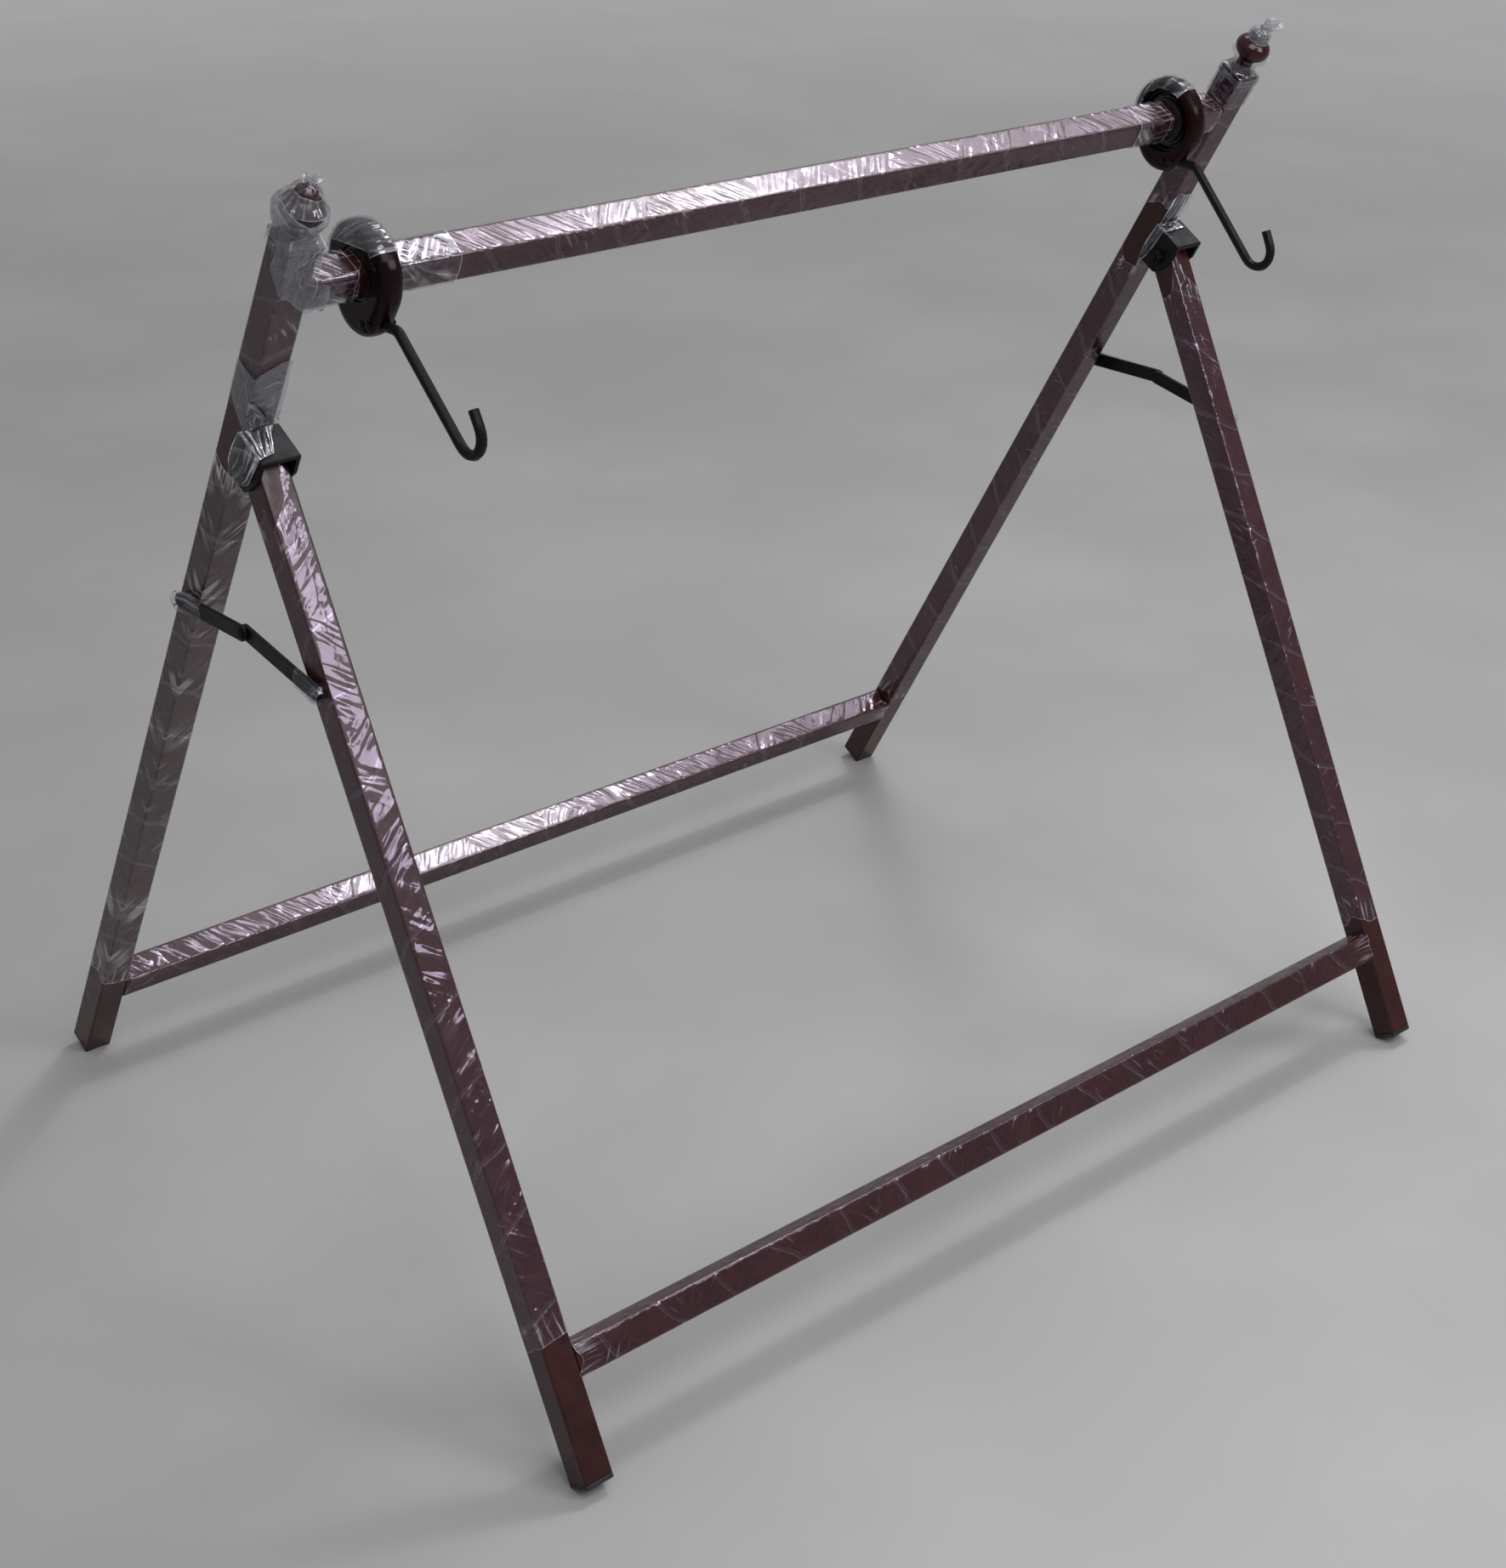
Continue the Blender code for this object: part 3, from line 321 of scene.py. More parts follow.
def steel(name, colour, dark, roughness, scratch):
    """Plated or ground steel: fine turned scratches and a cloudy tone."""
    material, tree, shader = new_material(name)
    where = node(tree, "ShaderNodeTexCoord").outputs["Object"]
    fine = node(tree, "ShaderNodeMapping", {"Vector": where, "Scale": STEEL_SCRATCHES}).outputs["Vector"]
    lines = noise_node(tree, fine, 1.0, 3.0)
    cloud = ramp(tree, noise_node(tree, where, STEEL_CLOUD, 4.0), 0.35, 0.7)
    tree.links.new(colour_mix(tree, cloud, dark, colour), shader.inputs["Base Color"])
    shader.inputs["Metallic"].default_value = 1.0
    turned = ramp(tree, lines, 0.3, 0.7, roughness * 0.7, roughness * 1.3)
    tree.links.new(turned, shader.inputs["Roughness"])
    tree.links.new(bump(tree, lines, scratch, SCRATCH_DEPTH), shader.inputs["Normal"])
    return material


LOOKS = {
    "maroon_paint": paint(
        "maroon_enamel", colour=(0.042, 0.0085, 0.0084), deep=(0.029, 0.0062, 0.0066),
        roughness=0.28, gloss=0.30, coat=0.10, soften=0.0010, dust=0.05,
    ),
    "black_paint": paint(
        "black_enamel", colour=(0.0105, 0.0095, 0.0110), deep=(0.007, 0.0065, 0.0075),
        roughness=0.34, gloss=0.14, coat=0.0, soften=0.0014, dust=0.02, peel=0.2,
    ),
    "hanger_paint": paint(
        "dark_brown_enamel", colour=(0.0135, 0.0020, 0.0026), deep=(0.0058, 0.0018, 0.0024),
        roughness=0.20, gloss=0.11, coat=0.06, soften=0.0040, dust=0.03,
    ),
    "black_plastic": plastic(
        "black_moulded", colour=(0.010, 0.011, 0.013), worn=(0.024, 0.025, 0.028),
        roughness=0.5, gloss=0.5, grain=900.0, strength=0.3, soften=0.0006,
    ),
    "finial_plastic": plastic(
        "red_gloss_moulded", colour=(0.027, 0.0024, 0.0031), worn=(0.035, 0.0042, 0.0050),
        roughness=0.08, gloss=0.40, grain=300.0, strength=0.05, soften=0.0030,
    ),
    "plated_steel": steel(
        "zinc_plate", colour=(0.30, 0.30, 0.31), dark=(0.20, 0.20, 0.21), roughness=0.36, scratch=0.2
    ),
    # The bearing steel's near-black colour is painted shade for the recess in the hanger that holds it.
    "bearing_steel": steel(
        "shade_darkened_steel", colour=(0.060, 0.058, 0.060), dark=(0.032, 0.031, 0.033), roughness=0.34, scratch=0.15
    ),
}
for subpart in frame["record"]["subparts"]:
    shown = frame["nodes"][subpart["node"]]
    shown.data.materials.clear()
    shown.data.materials.append(LOOKS[subpart["material_slot"]])

# Lines in the film: how many there are in a metre across and along them, and at which level of the noise
# they start and are full. The strokes and the broad swell have a setting for each of the two pulls.
STROKES = ((112.0, 19.0, 0.36, 0.66), (122.0, 21.0, 0.36, 0.66))
SWELL = ((58.0, 15.0), (64.0, 17.0))
# The hairs, chevrons, tent hairs, stripes and fan lines whiten the film's colour: partly its own whitened
# creases, partly painted highlight.
FINE_HAIRS = (400.0, 46.0, 0.60, 0.72)
CHEVRONS = (150.0, 14.0, 0.50, 0.58)
TENT_HAIRS = (230.0, 26.0, 0.50, 0.60)
STRIPES = (135.0, 13.0, 0.50, 0.57)
FAN_LINES = (330.0, 26.0, 0.50, 0.68)
FAN_ANGLE = radians(86)

# Scales of the film's other noise in features per metre, and how far the stir moves the pattern
STIR, PATCHES, GATHERS, CLOUDS, WANDER, STIR_REACH = 30.0, 9.0, 26.0, 34.0, 11.0, 0.006

# Distances from a free edge, in metres, at which its fan of lines and its hem start and are full
FAN_REACH, HEM_REACH = (0.030, 0.004), (0.0011, 0.0002)

# One turn of the film: its pitch along the tube and its way round it. The edge of each turn gets a painted
# # highlight line with a painted shade line after it, given as shares of a turn over which they rise and
# fall.
LAP_PITCH, LAP_ROUND = 0.058, 0.1
LAP_RISE, LAP_FALL = (0.0, 0.02), (0.06, 0.025)
SHADE_RISE, SHADE_FALL = (0.055, 0.065), (0.10, 0.07)
LAP_WEIGHT, HAIR_WEIGHT, PAINTED_SHADE_DENSITY = 0.26, 0.6, 0.34
CREASE_AND_HIGHLIGHT_COLOUR, PAINTED_SHADE_COLOUR = (0.74, 0.72, 0.80), (0.010, 0.006, 0.007)

# Relief of the film in millimetres
SWELL_HEIGHT, STROKE_HEIGHT, LINE_HEIGHT, MILLIMETRE = 1.9, 0.62, 0.14, 0.001


def film_material(name, pull, tint, body, clear, milk, white, fan, hem, ior, hairs=FINE_HAIRS):
    """Clear stretch film: a thin glossy skin pulled into long strokes, whiter where it is creased, gathered
    or cut, partly from its own whitening and partly from painted highlight. Each turn's edge gets a painted
    highlight line and a painted shade line. pull has the strokes' two directions, tint colours the shine and
    body the haze, which on some films holds painted light. clear is the bare film's density; its clouds add
    milk and its lines white. fan and hem weigh the lines at a free edge."""
    material, tree, shader = new_material(name)
    flat = node(tree, "ShaderNodeUVMap", uv_map="film").outputs["UV"]
    rim = node(tree, "ShaderNodeUVMap", uv_map="rim").outputs["UV"]
    edge = node(tree, "ShaderNodeSeparateXYZ", {"Vector": rim}).outputs["X"]
    stir = node(tree, "ShaderNodeTexNoise", {"Vector": flat, "Scale": STIR, "Detail": 1.0}).outputs["Color"]
    shift = vector_node(tree, "SUBTRACT", {0: stir, 1: (0.5, 0.5, 0.5)})
    shift = vector_node(tree, "SCALE", {0: shift, "Scale": STIR_REACH})
    moved = vector_node(tree, "ADD", {0: flat, 1: shift})

    def plus(a, b, clamp=False):
        return math_node(tree, "ADD", a, b, clamp)

    def times(a, b):
        return math_node(tree, "MULTIPLY", a, b)

    def pulled(angle, across, along):
        turned = node(tree, "ShaderNodeMapping", {"Vector": moved, "Rotation": (0.0, 0.0, angle)})
        scaled = {"Vector": turned.outputs["Vector"], "Scale": (across, along, 1.0)}
        return noise_node(tree, node(tree, "ShaderNodeMapping", scaled).outputs["Vector"], 1.0, 1.0)

    def streaks(angle, across, along, low, high):
        return ramp(tree, pulled(angle, across, along), low, high)

    def either(first, second):
        return plus(times(first, choice), times(second, math_node(tree, "SUBTRACT", 1.0, choice)))

    def pulse(value, rise, fall):
        return times(ramp(tree, value, *rise), ramp(tree, value, *fall))

    one, two = pull
    choice = ramp(tree, noise_node(tree, flat, PATCHES, 1.0), 0.45, 0.55)
    strokes = either(streaks(one, *STROKES[0]), streaks(two, *STROKES[1]))
    swell = either(pulled(one, *SWELL[0]), pulled(two, *SWELL[1]))
    gathered = ramp(tree, noise_node(tree, flat, GATHERS, 2.0), 0.42, 0.66)
    whitened_and_highlit_hairs = times(either(streaks(one, *hairs), streaks(two, *hairs)), gathered)
    edge_fan = times(ramp(tree, edge, *FAN_REACH), streaks(FAN_ANGLE, *FAN_LINES))
    parts = node(tree, "ShaderNodeSeparateXYZ", {"Vector": moved})
    uneven = times(noise_node(tree, flat, WANDER, 1.0), 0.9)
    turns = plus(math_node(tree, "DIVIDE", parts.outputs["X"], LAP_PITCH), uneven)
    turns = plus(turns, math_node(tree, "DIVIDE", parts.outputs["Y"], LAP_ROUND))
    saw = math_node(tree, "FRACT", turns, 0.0)
    # Each turn's edge gets a painted highlight line and a painted shade line after it.
    lap_highlight, shade = pulse(saw, LAP_RISE, LAP_FALL), pulse(saw, SHADE_RISE, SHADE_FALL)
    cloud = ramp(tree, noise_node(tree, flat, CLOUDS, 3.0), 0.35, 0.7)

    # The lines whiten the film: partly its own whitened creases, gathers and cut edges, partly painted
    # highlight standing in for the shine on them.
    lines = plus(times(whitened_and_highlit_hairs, HAIR_WEIGHT), times(lap_highlight, LAP_WEIGHT))
    lines = plus(lines, times(edge_fan, fan))
    lines = plus(lines, times(ramp(tree, edge, *HEM_REACH), hem), clamp=True)
    skin = plus(times(cloud, milk), clear)
    dense = plus(times(lines, white), times(shade, PAINTED_SHADE_DENSITY))
    tree.links.new(plus(skin, dense, clamp=True), shader.inputs["Alpha"])
    creased_and_highlit = colour_mix(tree, lines, body, CREASE_AND_HIGHLIGHT_COLOUR)
    tree.links.new(colour_mix(tree, shade, creased_and_highlit, PAINTED_SHADE_COLOUR), shader.inputs["Base Color"])
    tree.links.new(ramp(tree, cloud, 0.0, 1.0, 0.08, 0.14), shader.inputs["Roughness"])
    shader.inputs["IOR"].default_value = ior
    shader.inputs["Specular Tint"].default_value = (*tint, 1.0)
    height = plus(times(swell, SWELL_HEIGHT), times(strokes, STROKE_HEIGHT))
    height = plus(height, times(lines, LINE_HEIGHT))
    tree.links.new(bump(tree, height, 1.0, MILLIMETRE), shader.inputs["Normal"])
    return material


WRAP_PULL = (radians(36), radians(-40))
CHEVRON_PULL = (radians(50), radians(42))
STRIPE_PULL = (radians(-44), radians(-50))
SLACK_PULL = (radians(66), radians(100))
LOOSE_PULL = (radians(82), radians(99))
LILAC, BLUISH, ROSY = (0.94, 0.81, 1.0), (0.92, 0.95, 1.0), (1.0, 0.93, 0.95)
# The maroon in the bodies of the wrap and clear films is painted light, bounced from the maroon paint under
# them.
WRAP_FILM = film_material(
    "wrap_film", WRAP_PULL, LILAC, body=(0.072, 0.024, 0.031),
    clear=0.17, milk=0.06, white=0.36, fan=0.75, hem=0.6, ior=3.3,
)
HAZY_FILM = film_material(
    "hazy_film", CHEVRON_PULL, ROSY, body=(0.112, 0.095, 0.091),
    clear=0.18, milk=0.07, white=0.62, fan=0.9, hem=1.0, ior=3.3, hairs=CHEVRONS,
)
CLEAR_FILM = film_material(
    "clear_film", WRAP_PULL, LILAC, body=(0.050, 0.018, 0.024),
    clear=0.11, milk=0.04, white=0.30, fan=0.75, hem=0.6, ior=3.3,
)
SLACK_FILM = film_material(
    "slack_film", SLACK_PULL, LILAC, body=(0.110, 0.094, 0.094),
    clear=0.22, milk=0.12, white=0.40, fan=0.6, hem=0.4, ior=3.1,
)
LOOSE_FILM = film_material(
    "loose_film", LOOSE_PULL, BLUISH, body=(0.075, 0.078, 0.096),
    clear=0.15, milk=0.06, white=0.54, fan=0.6, hem=0.35, ior=3.7,
)
TENT_FILM = film_material(
    "tent_film", LOOSE_PULL, BLUISH, body=(0.110, 0.112, 0.130),
    clear=0.19, milk=0.08, white=0.85, fan=0.8, hem=0.5, ior=3.7, hairs=TENT_HAIRS,
)
KNOB_FILM = film_material(
    "knob_film", SLACK_PULL, BLUISH, body=(0.040, 0.040, 0.048),
    clear=0.09, milk=0.04, white=0.50, fan=0.10, hem=0.40, ior=4.2,
)
# The bunched film's pale body is partly its own whiteness and partly a painted highlight along a bracket's
# edge.
BUNCHED_HIGHLIGHT_FILM = film_material(
    "bunched_highlight_film", WRAP_PULL, BLUISH, body=(0.30, 0.31, 0.35),
    clear=0.34, milk=0.12, white=0.50, fan=0.30, hem=0.20, ior=3.4,
)
CAP_FILM = film_material(
    "cap_film", LOOSE_PULL, BLUISH, body=(0.17, 0.17, 0.195),
    clear=0.24, milk=0.12, white=0.52, fan=0.45, hem=0.55, ior=3.4,
)
# The navy body of the dark film is a painted reflection of dark blue surroundings.
DARK_FILM = film_material(
    "dark_film", LOOSE_PULL, BLUISH, body=(0.022, 0.025, 0.038),
    clear=0.24, milk=0.06, white=0.36, fan=0.22, hem=0.40, ior=3.8,
)
# The maroon in the striped film's body is painted light, bounced from the maroon paint under it.
STRIPED_FILM = film_material(
    "striped_film", STRIPE_PULL, BLUISH, body=(0.045, 0.020, 0.028),
    clear=0.15, milk=0.05, white=0.95, fan=0.0, hem=0.55, ior=3.6, hairs=STRIPES,
)
BAG_FILM = film_material(
    "bag_film", LOOSE_PULL, BLUISH, body=(0.22, 0.23, 0.26),
    clear=0.40, milk=0.16, white=0.34, fan=0.08, hem=0.4, ior=2.2,
)

# Film wound round the tubes. A tube's faces are numbered from the one that looks along out, round by side.
FACE_STEPS = 9


def square_path():
    """Points round the outside of a tube, with their outward normals, how slack the film is there, and
    their faces."""
    half = TUBE / 2
    flat = half - CORNER
    spots, normals, slack, faces = [], [], [], []
    sides = [((1, 0), (0, 1)), ((0, 1), (-1, 0)), ((-1, 0), (0, -1)), ((0, -1), (1, 0))]
    for face, (out, run) in enumerate(sides):
        out, run = np.array(out, float), np.array(run, float)
        for i in range(FACE_STEPS + 1):
            t = -1 + 2 * i / FACE_STEPS
            spots.append(out * half + run * flat * t)
            normals.append(out)
            slack.append(cos(t * pi / 2) ** 0.6 if abs(t) < 1 else 0.0)
            faces.append(face)
        next_out = np.array(sides[(face + 1) % 4][0], float)
        turn = (out + next_out) / 2 ** 0.5
        spots.append(out * flat + next_out * flat + turn * CORNER)
        normals.append(turn)
        slack.append(0.0)
        faces.append(face)
    return np.array(spots), np.array(normals), np.array(slack), np.array(faces)


SPOTS, NORMALS, SLACK, FACES = square_path()
AROUND = np.concatenate(([0.0], np.cumsum(np.linalg.norm(np.diff(SPOTS, axis=0), axis=1))))
FACE_MIDDLE = np.array([AROUND[FACES == f].mean() for f in range(4)])
FACE_PITCH = FACE_MIDDLE[1] - FACE_MIDDLE[0]


def on_tube(foot, up, out, side, along, lift):
    """Points round a tube at places along it, lifted off it."""
    spots = SPOTS[None, :, :] + NORMALS[None, :, :] * lift[:, :, None]
    return foot + along[:, :, None] * up + spots[:, :, 0:1] * out + spots[:, :, 1:2] * side


def wound_film(
    name, body, foot, up, out, side, low, high, seed,
    holes=(), bunch=(0.0, 0.0), torn=None, mirrored=False, material=WRAP_FILM,
):
    """A sleeve of film on a tube. low and high give where it starts and ends on each of the four faces, and
    bunch how far it is pushed together there. A hole is a face, its middle and half length along the tube,
    and its offset and half width across. torn lowers the end where it is torn off: the first and last place
    round the tube, and how far. On a mirrored film the lines meet in a V on the edge after face 0."""
    row_step, waver, waver_length, tear_width = 0.0030, 0.004, 0.011, 0.003
    rest, crease_height, bunch_height, bunch_length = 0.00035, 0.0008, 0.0012, 0.022
    places = np.append(FACE_MIDDLE, FACE_MIDDLE[0] + AROUND[-1])
    column_low = np.interp(AROUND, places, np.append(low, low[0]))
    column_high = np.interp(AROUND, places, np.append(high, high[0]))
    if torn:
        first, last, depth = torn
        tear = smoothstep(first, first + tear_width, AROUND) * smoothstep(last, last - tear_width, AROUND)
        column_high = column_high - depth * tear
    column_low = column_low + waver * noise(AROUND / waver_length, 0.0, seed + 51)
    column_high = column_high + waver * noise(AROUND / waver_length, 0.0, seed + 52)
    rows = int((max(high) - min(low)) / row_step) + 2
    share = np.linspace(0.0, 1.0, rows)[:, None]
    along = column_low[None, :] * (1 - share) + column_high[None, :] * share
    across = np.broadcast_to(AROUND[None, :], along.shape)
    one = folds(along, across, radians(38), 0.0085, 0.045, seed)
    two = folds(along, across, radians(-42), 0.0095, 0.050, seed + 3)
    patch = smoothstep(-0.25, 0.25, noise(along / 0.07, across / 0.05, seed + 5))
    crease = (one * patch + two * (1 - patch)) ** 2
    loose = np.clip(0.45 + 0.55 * noise(along / 0.12, across / 0.08, seed + 9), 0.1, 1.0)
    start, stop = along - min(low), max(high) - along
    pile = bunch[0] * np.exp(-start / bunch_length) + bunch[1] * np.exp(-stop / bunch_length)
    ripple = folds(along, across, radians(80), 0.0042, 0.03, seed + 11)
    lift = rest + (crease_height * crease * loose + bunch_height * pile * ripple) * SLACK[None, :]
    lift = lift + 0.00012 * noise(along / 0.009, across / 0.02, seed + 13) * (SLACK[None, :] == 0)
    points = on_tube(foot, up, out, side, along, lift)
    keep = np.ones(along.shape, bool)
    for face, at, reach, offset, width in holes:
        away = across - FACE_MIDDLE[face]
        inside = (np.abs(along - at) < reach) & (np.abs(away - offset) < width)
        keep &= ~inside
    if mirrored:
        corner = (FACE_MIDDLE[0] + FACE_MIDDLE[1]) / 2
        across = np.minimum(np.abs(across - corner), np.abs(across - corner - 2 * FACE_PITCH))
    uv = uv_grid(along + 0.37 * (seed % 23), across)
    return grid_piece(name, points, uv, body, material, close=True, keep=keep)


# Holes in the sleeves, where the bar meets a leg, at a stay's rivet and at its washer
BAR_HOLE = (3, BAR_AT, 0.0145, 0.0, 0.014)
STAY_HOLE = (1, STAY_TOP_AT, 0.0085, 0.0, 0.0085)
WASHER_HOLE = (1, STAY_FOOT_AT + 0.005, 0.0145, -0.004, 0.0125)

for n, (side_name, sign) in enumerate(SIDES.items()):
    back_leg = (back_point(0.0, sign * LEG_X), BACK_UP, BACK_FRONT, X_AXIS * sign)
    front_leg = (front_point(0.0, sign * LEG_X), FRONT_UP, FRONT_FRONT, X_AXIS * sign)
    wound_film(
        "film_back_leg_" + side_name, "back_frame", *back_leg,
        low=(0.112, 0.120, 0.114, 0.118), high=(0.772, 0.778, 0.790, 0.764), seed=101 + 10 * n,
        holes=[STAY_HOLE], mirrored=sign == LEFT, material=HAZY_FILM if sign == LEFT else WRAP_FILM,
    )
    wound_film(
        "film_back_leg_top_" + side_name, "back_frame", *back_leg,
        low=(0.842, 0.830, 0.822, 0.838), high=(0.986, 0.986, 0.986, 0.986), seed=131 + 10 * n,
        holes=[BAR_HOLE], bunch=(0.0, 0.8), material=SLACK_FILM if sign == LEFT else WRAP_FILM,
    )
    wound_film(
        "film_front_leg_" + side_name, "front_frame", *front_leg,
        low=(0.116, 0.108, 0.114, 0.120), high=(0.784, 0.746, 0.742, 0.748), seed=161 + 10 * n,
        holes=[WASHER_HOLE], bunch=(0.0, 1.0), torn=(0.0075, 0.0300, 0.026),
    )

# Film on the rails and the bar ends just short of the legs and of the hangers
LEG_GAP, HANGER_GAP = 0.0012, 0.0025
leg_end = LEG_INNER_X - LEG_GAP
for name, body, centre, front, up, seed, material in (
    ("film_back_rail", "back_frame", back_point(RAIL_AT), BACK_FRONT, BACK_UP, 211, WRAP_FILM),
    ("film_front_rail", "front_frame", front_point(RAIL_AT), FRONT_FRONT, FRONT_UP, 223, CLEAR_FILM),
):
    wound_film(
        name, body, centre, X_AXIS, front, up,
        low=[-leg_end] * 4, high=[leg_end] * 4, seed=seed, bunch=(1.0, 1.0), material=material,
    )

near, far = HANGER_X - HOUSING_HALF - HANGER_GAP, HANGER_X + HOUSING_HALF + HANGER_GAP
bar = (back_point(BAR_AT), X_AXIS, BACK_FRONT, BACK_UP)
for name, low, high, seed in (
    ("film_bar_left", -leg_end, -far, 241),
    ("film_bar", -near, near, 251),
    ("film_bar_right", far, leg_end, 263),
):
    wound_film(name, "back_frame", *bar, low=[low] * 4, high=[high] * 4, seed=seed)

# Looser film over the hangers, the finials, the brackets and the ends of the stays. LOOSE_OUT is how far it
# lies from the middle of a tube. Where a seed moves a UV map, the piece looks unlike its twin.
LOOSE_OUT = 0.0142


def hanger_cap(side, start, stop, chord, rim_low, inner_low, gather, seed, material):
    """Film pulled over the top of a hanger, from start to stop in degrees. It is gathered towards one point
    of the face, given as back and up from the bar. chord is the height of its straight lower edge on the
    outer face, at most rim_low from the bar, and inner_low is where it ends on the inner face."""
    skin, pleat_height, ruffle_height = 0.0008, 0.0015, 0.0003
    face_x, rim_r = HOUSING_HALF + skin, HOUSING_RADIUS + skin
    bend_x, bend_r = HOUSING_HALF - HOUSING_EDGE, HOUSING_RADIUS - HOUSING_EDGE
    bulge = HOUSING_EDGE + skin
    turn = np.linspace(radians(start), radians(stop), 72)[None, :]
    low = np.minimum(chord / np.cos(turn), rim_low)
    bends = [pi / 2 * i / 6 for i in range(1, 6)]
    rows = [(face_x, low + (bend_r - low) * share, 1.0, 0.0) for share in np.linspace(0, 1, 9)]
    for angle in bends:
        rows.append((bend_x + bulge * cos(angle), bend_r + bulge * sin(angle), cos(angle), sin(angle)))
    rows += [(x, rim_r, 0.0, 1.0) for x in np.linspace(bend_x, -bend_x, 4)]
    for angle in reversed(bends):
        rows.append((-bend_x - bulge * cos(angle), bend_r + bulge * sin(angle), -cos(angle), sin(angle)))
    rows += [(-face_x, r, -1.0, 0.0) for r in np.linspace(bend_r, inner_low, 8)]
    flat = np.ones_like(turn)
    x, r, out_x, out_r = (np.concatenate([row[k] * flat for row in rows]) for k in range(4))
    ragged = 0.0020 * noise(turn * 6.0, 3.0, seed) + 0.0010 * noise(turn * 19.0, 8.0, seed + 1)
    r = r + ragged * (out_x < -0.5) * np.clip((bend_r - r) / 0.004, 0, 1)
    back, up = r * np.sin(turn) - gather[0], r * np.cos(turn) - gather[1]
    ray = np.arctan2(up, -back)
    ridge = pleats(ray * 5.5 + 0.4 * noise(turn * 3, x * 120, seed + 2), seed + 3, x * 40) ** 2
    lift = pleat_height * ridge * (0.45 + 0.55 * np.abs(out_x))
    lift = lift + ruffle_height * noise(turn * 30, r * 180, seed + 4)
    x, r = x + out_x * lift, r + out_r * lift
    sign, swing = SIDES[side], SWING[side]
    upward = np.array((0.0, sin(swing), cos(swing)))
    backward = np.array((0.0, cos(swing), -sin(swing)))
    centre = back_point(BAR_AT, sign * HANGER_X)
    spoke = np.cos(turn)[:, :, None] * upward + np.sin(turn)[:, :, None] * backward
    points = centre + (sign * x)[:, :, None] * X_AXIS + r[:, :, None] * spoke
    uv = uv_grid(np.hypot(back, up), ray * 0.03)
    return grid_piece("film_hanger_" + side, points, uv + 0.31 * (seed % 7), "hanger_" + side, material)


def finial_bag(name, sign, profile, low, high, seed, depth, material, slant=0.0, slack=0.0):
    """Film drawn round a finial from low to high on the leg: profile gives places up the leg and radii.
    Its upper edge climbs by slant towards the outer side. Round the square foot of the finial it follows
    the tube. depth is that of its folds, and slack is how far it stands off on the outer side."""
    square_to, round_from, square_half, corner_limit = 0.9915, 0.9945, 0.0140, 1.33
    levels, radii = np.array(profile).T
    share = np.linspace(0, 1, 50)[:, None]
    turn = np.linspace(0, tau, 80, endpoint=False)[None, :]
    x, forward = np.cos(turn), np.sin(turn)
    outer = 0.5 + 0.5 * sign * x
    end = high + slant * outer + 0.0006 * noise(3 * x, 3 * forward, seed + 1)
    along = low + (end - low) * share
    square = smoothstep(round_from, square_to, along)
    boxed = np.minimum(1 / np.maximum(np.abs(x), np.abs(forward)), corner_limit)
    ridge = (1 - np.abs(noise(1.3 * x + 170 * along, 1.3 * forward - 60 * along, seed))) ** 2
    stand = np.clip(sign * x, 0, 1) * np.exp(-((along - levels.mean()) / 0.012) ** 2)
    radius = np.interp(along, levels, radii)
    radius = radius * (1 - square) + square_half * boxed * square + depth * ridge + slack * stand
    points = on_back_leg(sign, sign * radius * x, radius * forward, along)
    uv = uv_grid(along, turn * 0.017)
    return grid_piece(name, points, uv, "back_frame", material, close=True)


def leg_top_drape(name, sign, seed):
    """Loose film that hangs from the neck of a finial over the leg's front and the end of the top bar."""
    top_share, top_levels, leg_top = 0.2, (1.001, 0.9925, 0.984), 0.984
    side_share, neck_radius, pleat_height = 0.24, 0.0122, 0.0022
    u = np.linspace(0, 1, 44)[None, :]
    v = np.linspace(0, 1, 52)[:, None]
    end = np.interp(u, (0, side_share, 0.75, 1), (0.966, 0.955, 0.931, 0.934))
    end = end + 0.002 * noise(u * 7, 0.5, seed)
    over_top = np.interp(v, (0, 0.5 * top_share, top_share), top_levels)
    hanging = leg_top + (end - leg_top) * (v - top_share) / (1 - top_share)
    along = over_top * (v <= top_share) + (v > top_share) * hanging
    inner = -0.0140 - 0.0125 * smoothstep(0.962, 0.954, along)
    on_side = np.clip(u / side_share, 0, 1)
    on_front = np.clip((u - side_share) / (1 - side_share), 0, 1)
    out = LOOSE_OUT + (inner - LOOSE_OUT) * on_front
    forward = 0.0035 + 0.0107 * on_side
    neck = smoothstep(0.9935, 1.0005, along)
    angle = radians(105) - radians(210) * u
    out = out * (1 - neck) + neck_radius * np.sin(angle) * neck
    forward = forward * (1 - neck) + neck_radius * np.cos(angle) * neck
    ridge = pleats(u * 5.0 + 0.6 * noise(u * 3, v * 3, seed + 1), seed + 2, v * 0.8) ** 2
    lift = 0.0005 + pleat_height * ridge * (0.35 + 0.65 * smoothstep(0.0, 0.3, v))
    out = out + lift * (1 - on_side) * (1 - neck)
    forward = forward + lift * on_side
    points = on_back_leg(sign, out, forward, along)
    uv = uv_grid(v * 0.07, u * 0.05)
    return grid_piece(name, points, uv, "back_frame", BAG_FILM)


def collar(name, foot, up, out, side, low, high, slant, stand, loft, material, seed):
    """Film bunched round a tube of the back frame, in ridges that run round it at a slant. It stands off the
    tube by stand, and its ridges by loft more."""
    along = np.linspace(low, high, 40)[:, None] + 0.0014 * noise(AROUND / 0.012, 0.0, seed)[None, :]
    across = np.broadcast_to(AROUND[None, :], along.shape)
    ridge = folds(along, across, slant, 0.0065, 0.035, seed + 1) ** 2
    lift = stand + loft * ridge * (0.25 + 0.75 * SLACK[None, :])
    points = on_tube(foot, up, out, side, along, lift)
    uv = uv_grid(across, along)
    return grid_piece(name, points, uv, "back_frame", material, close=True)


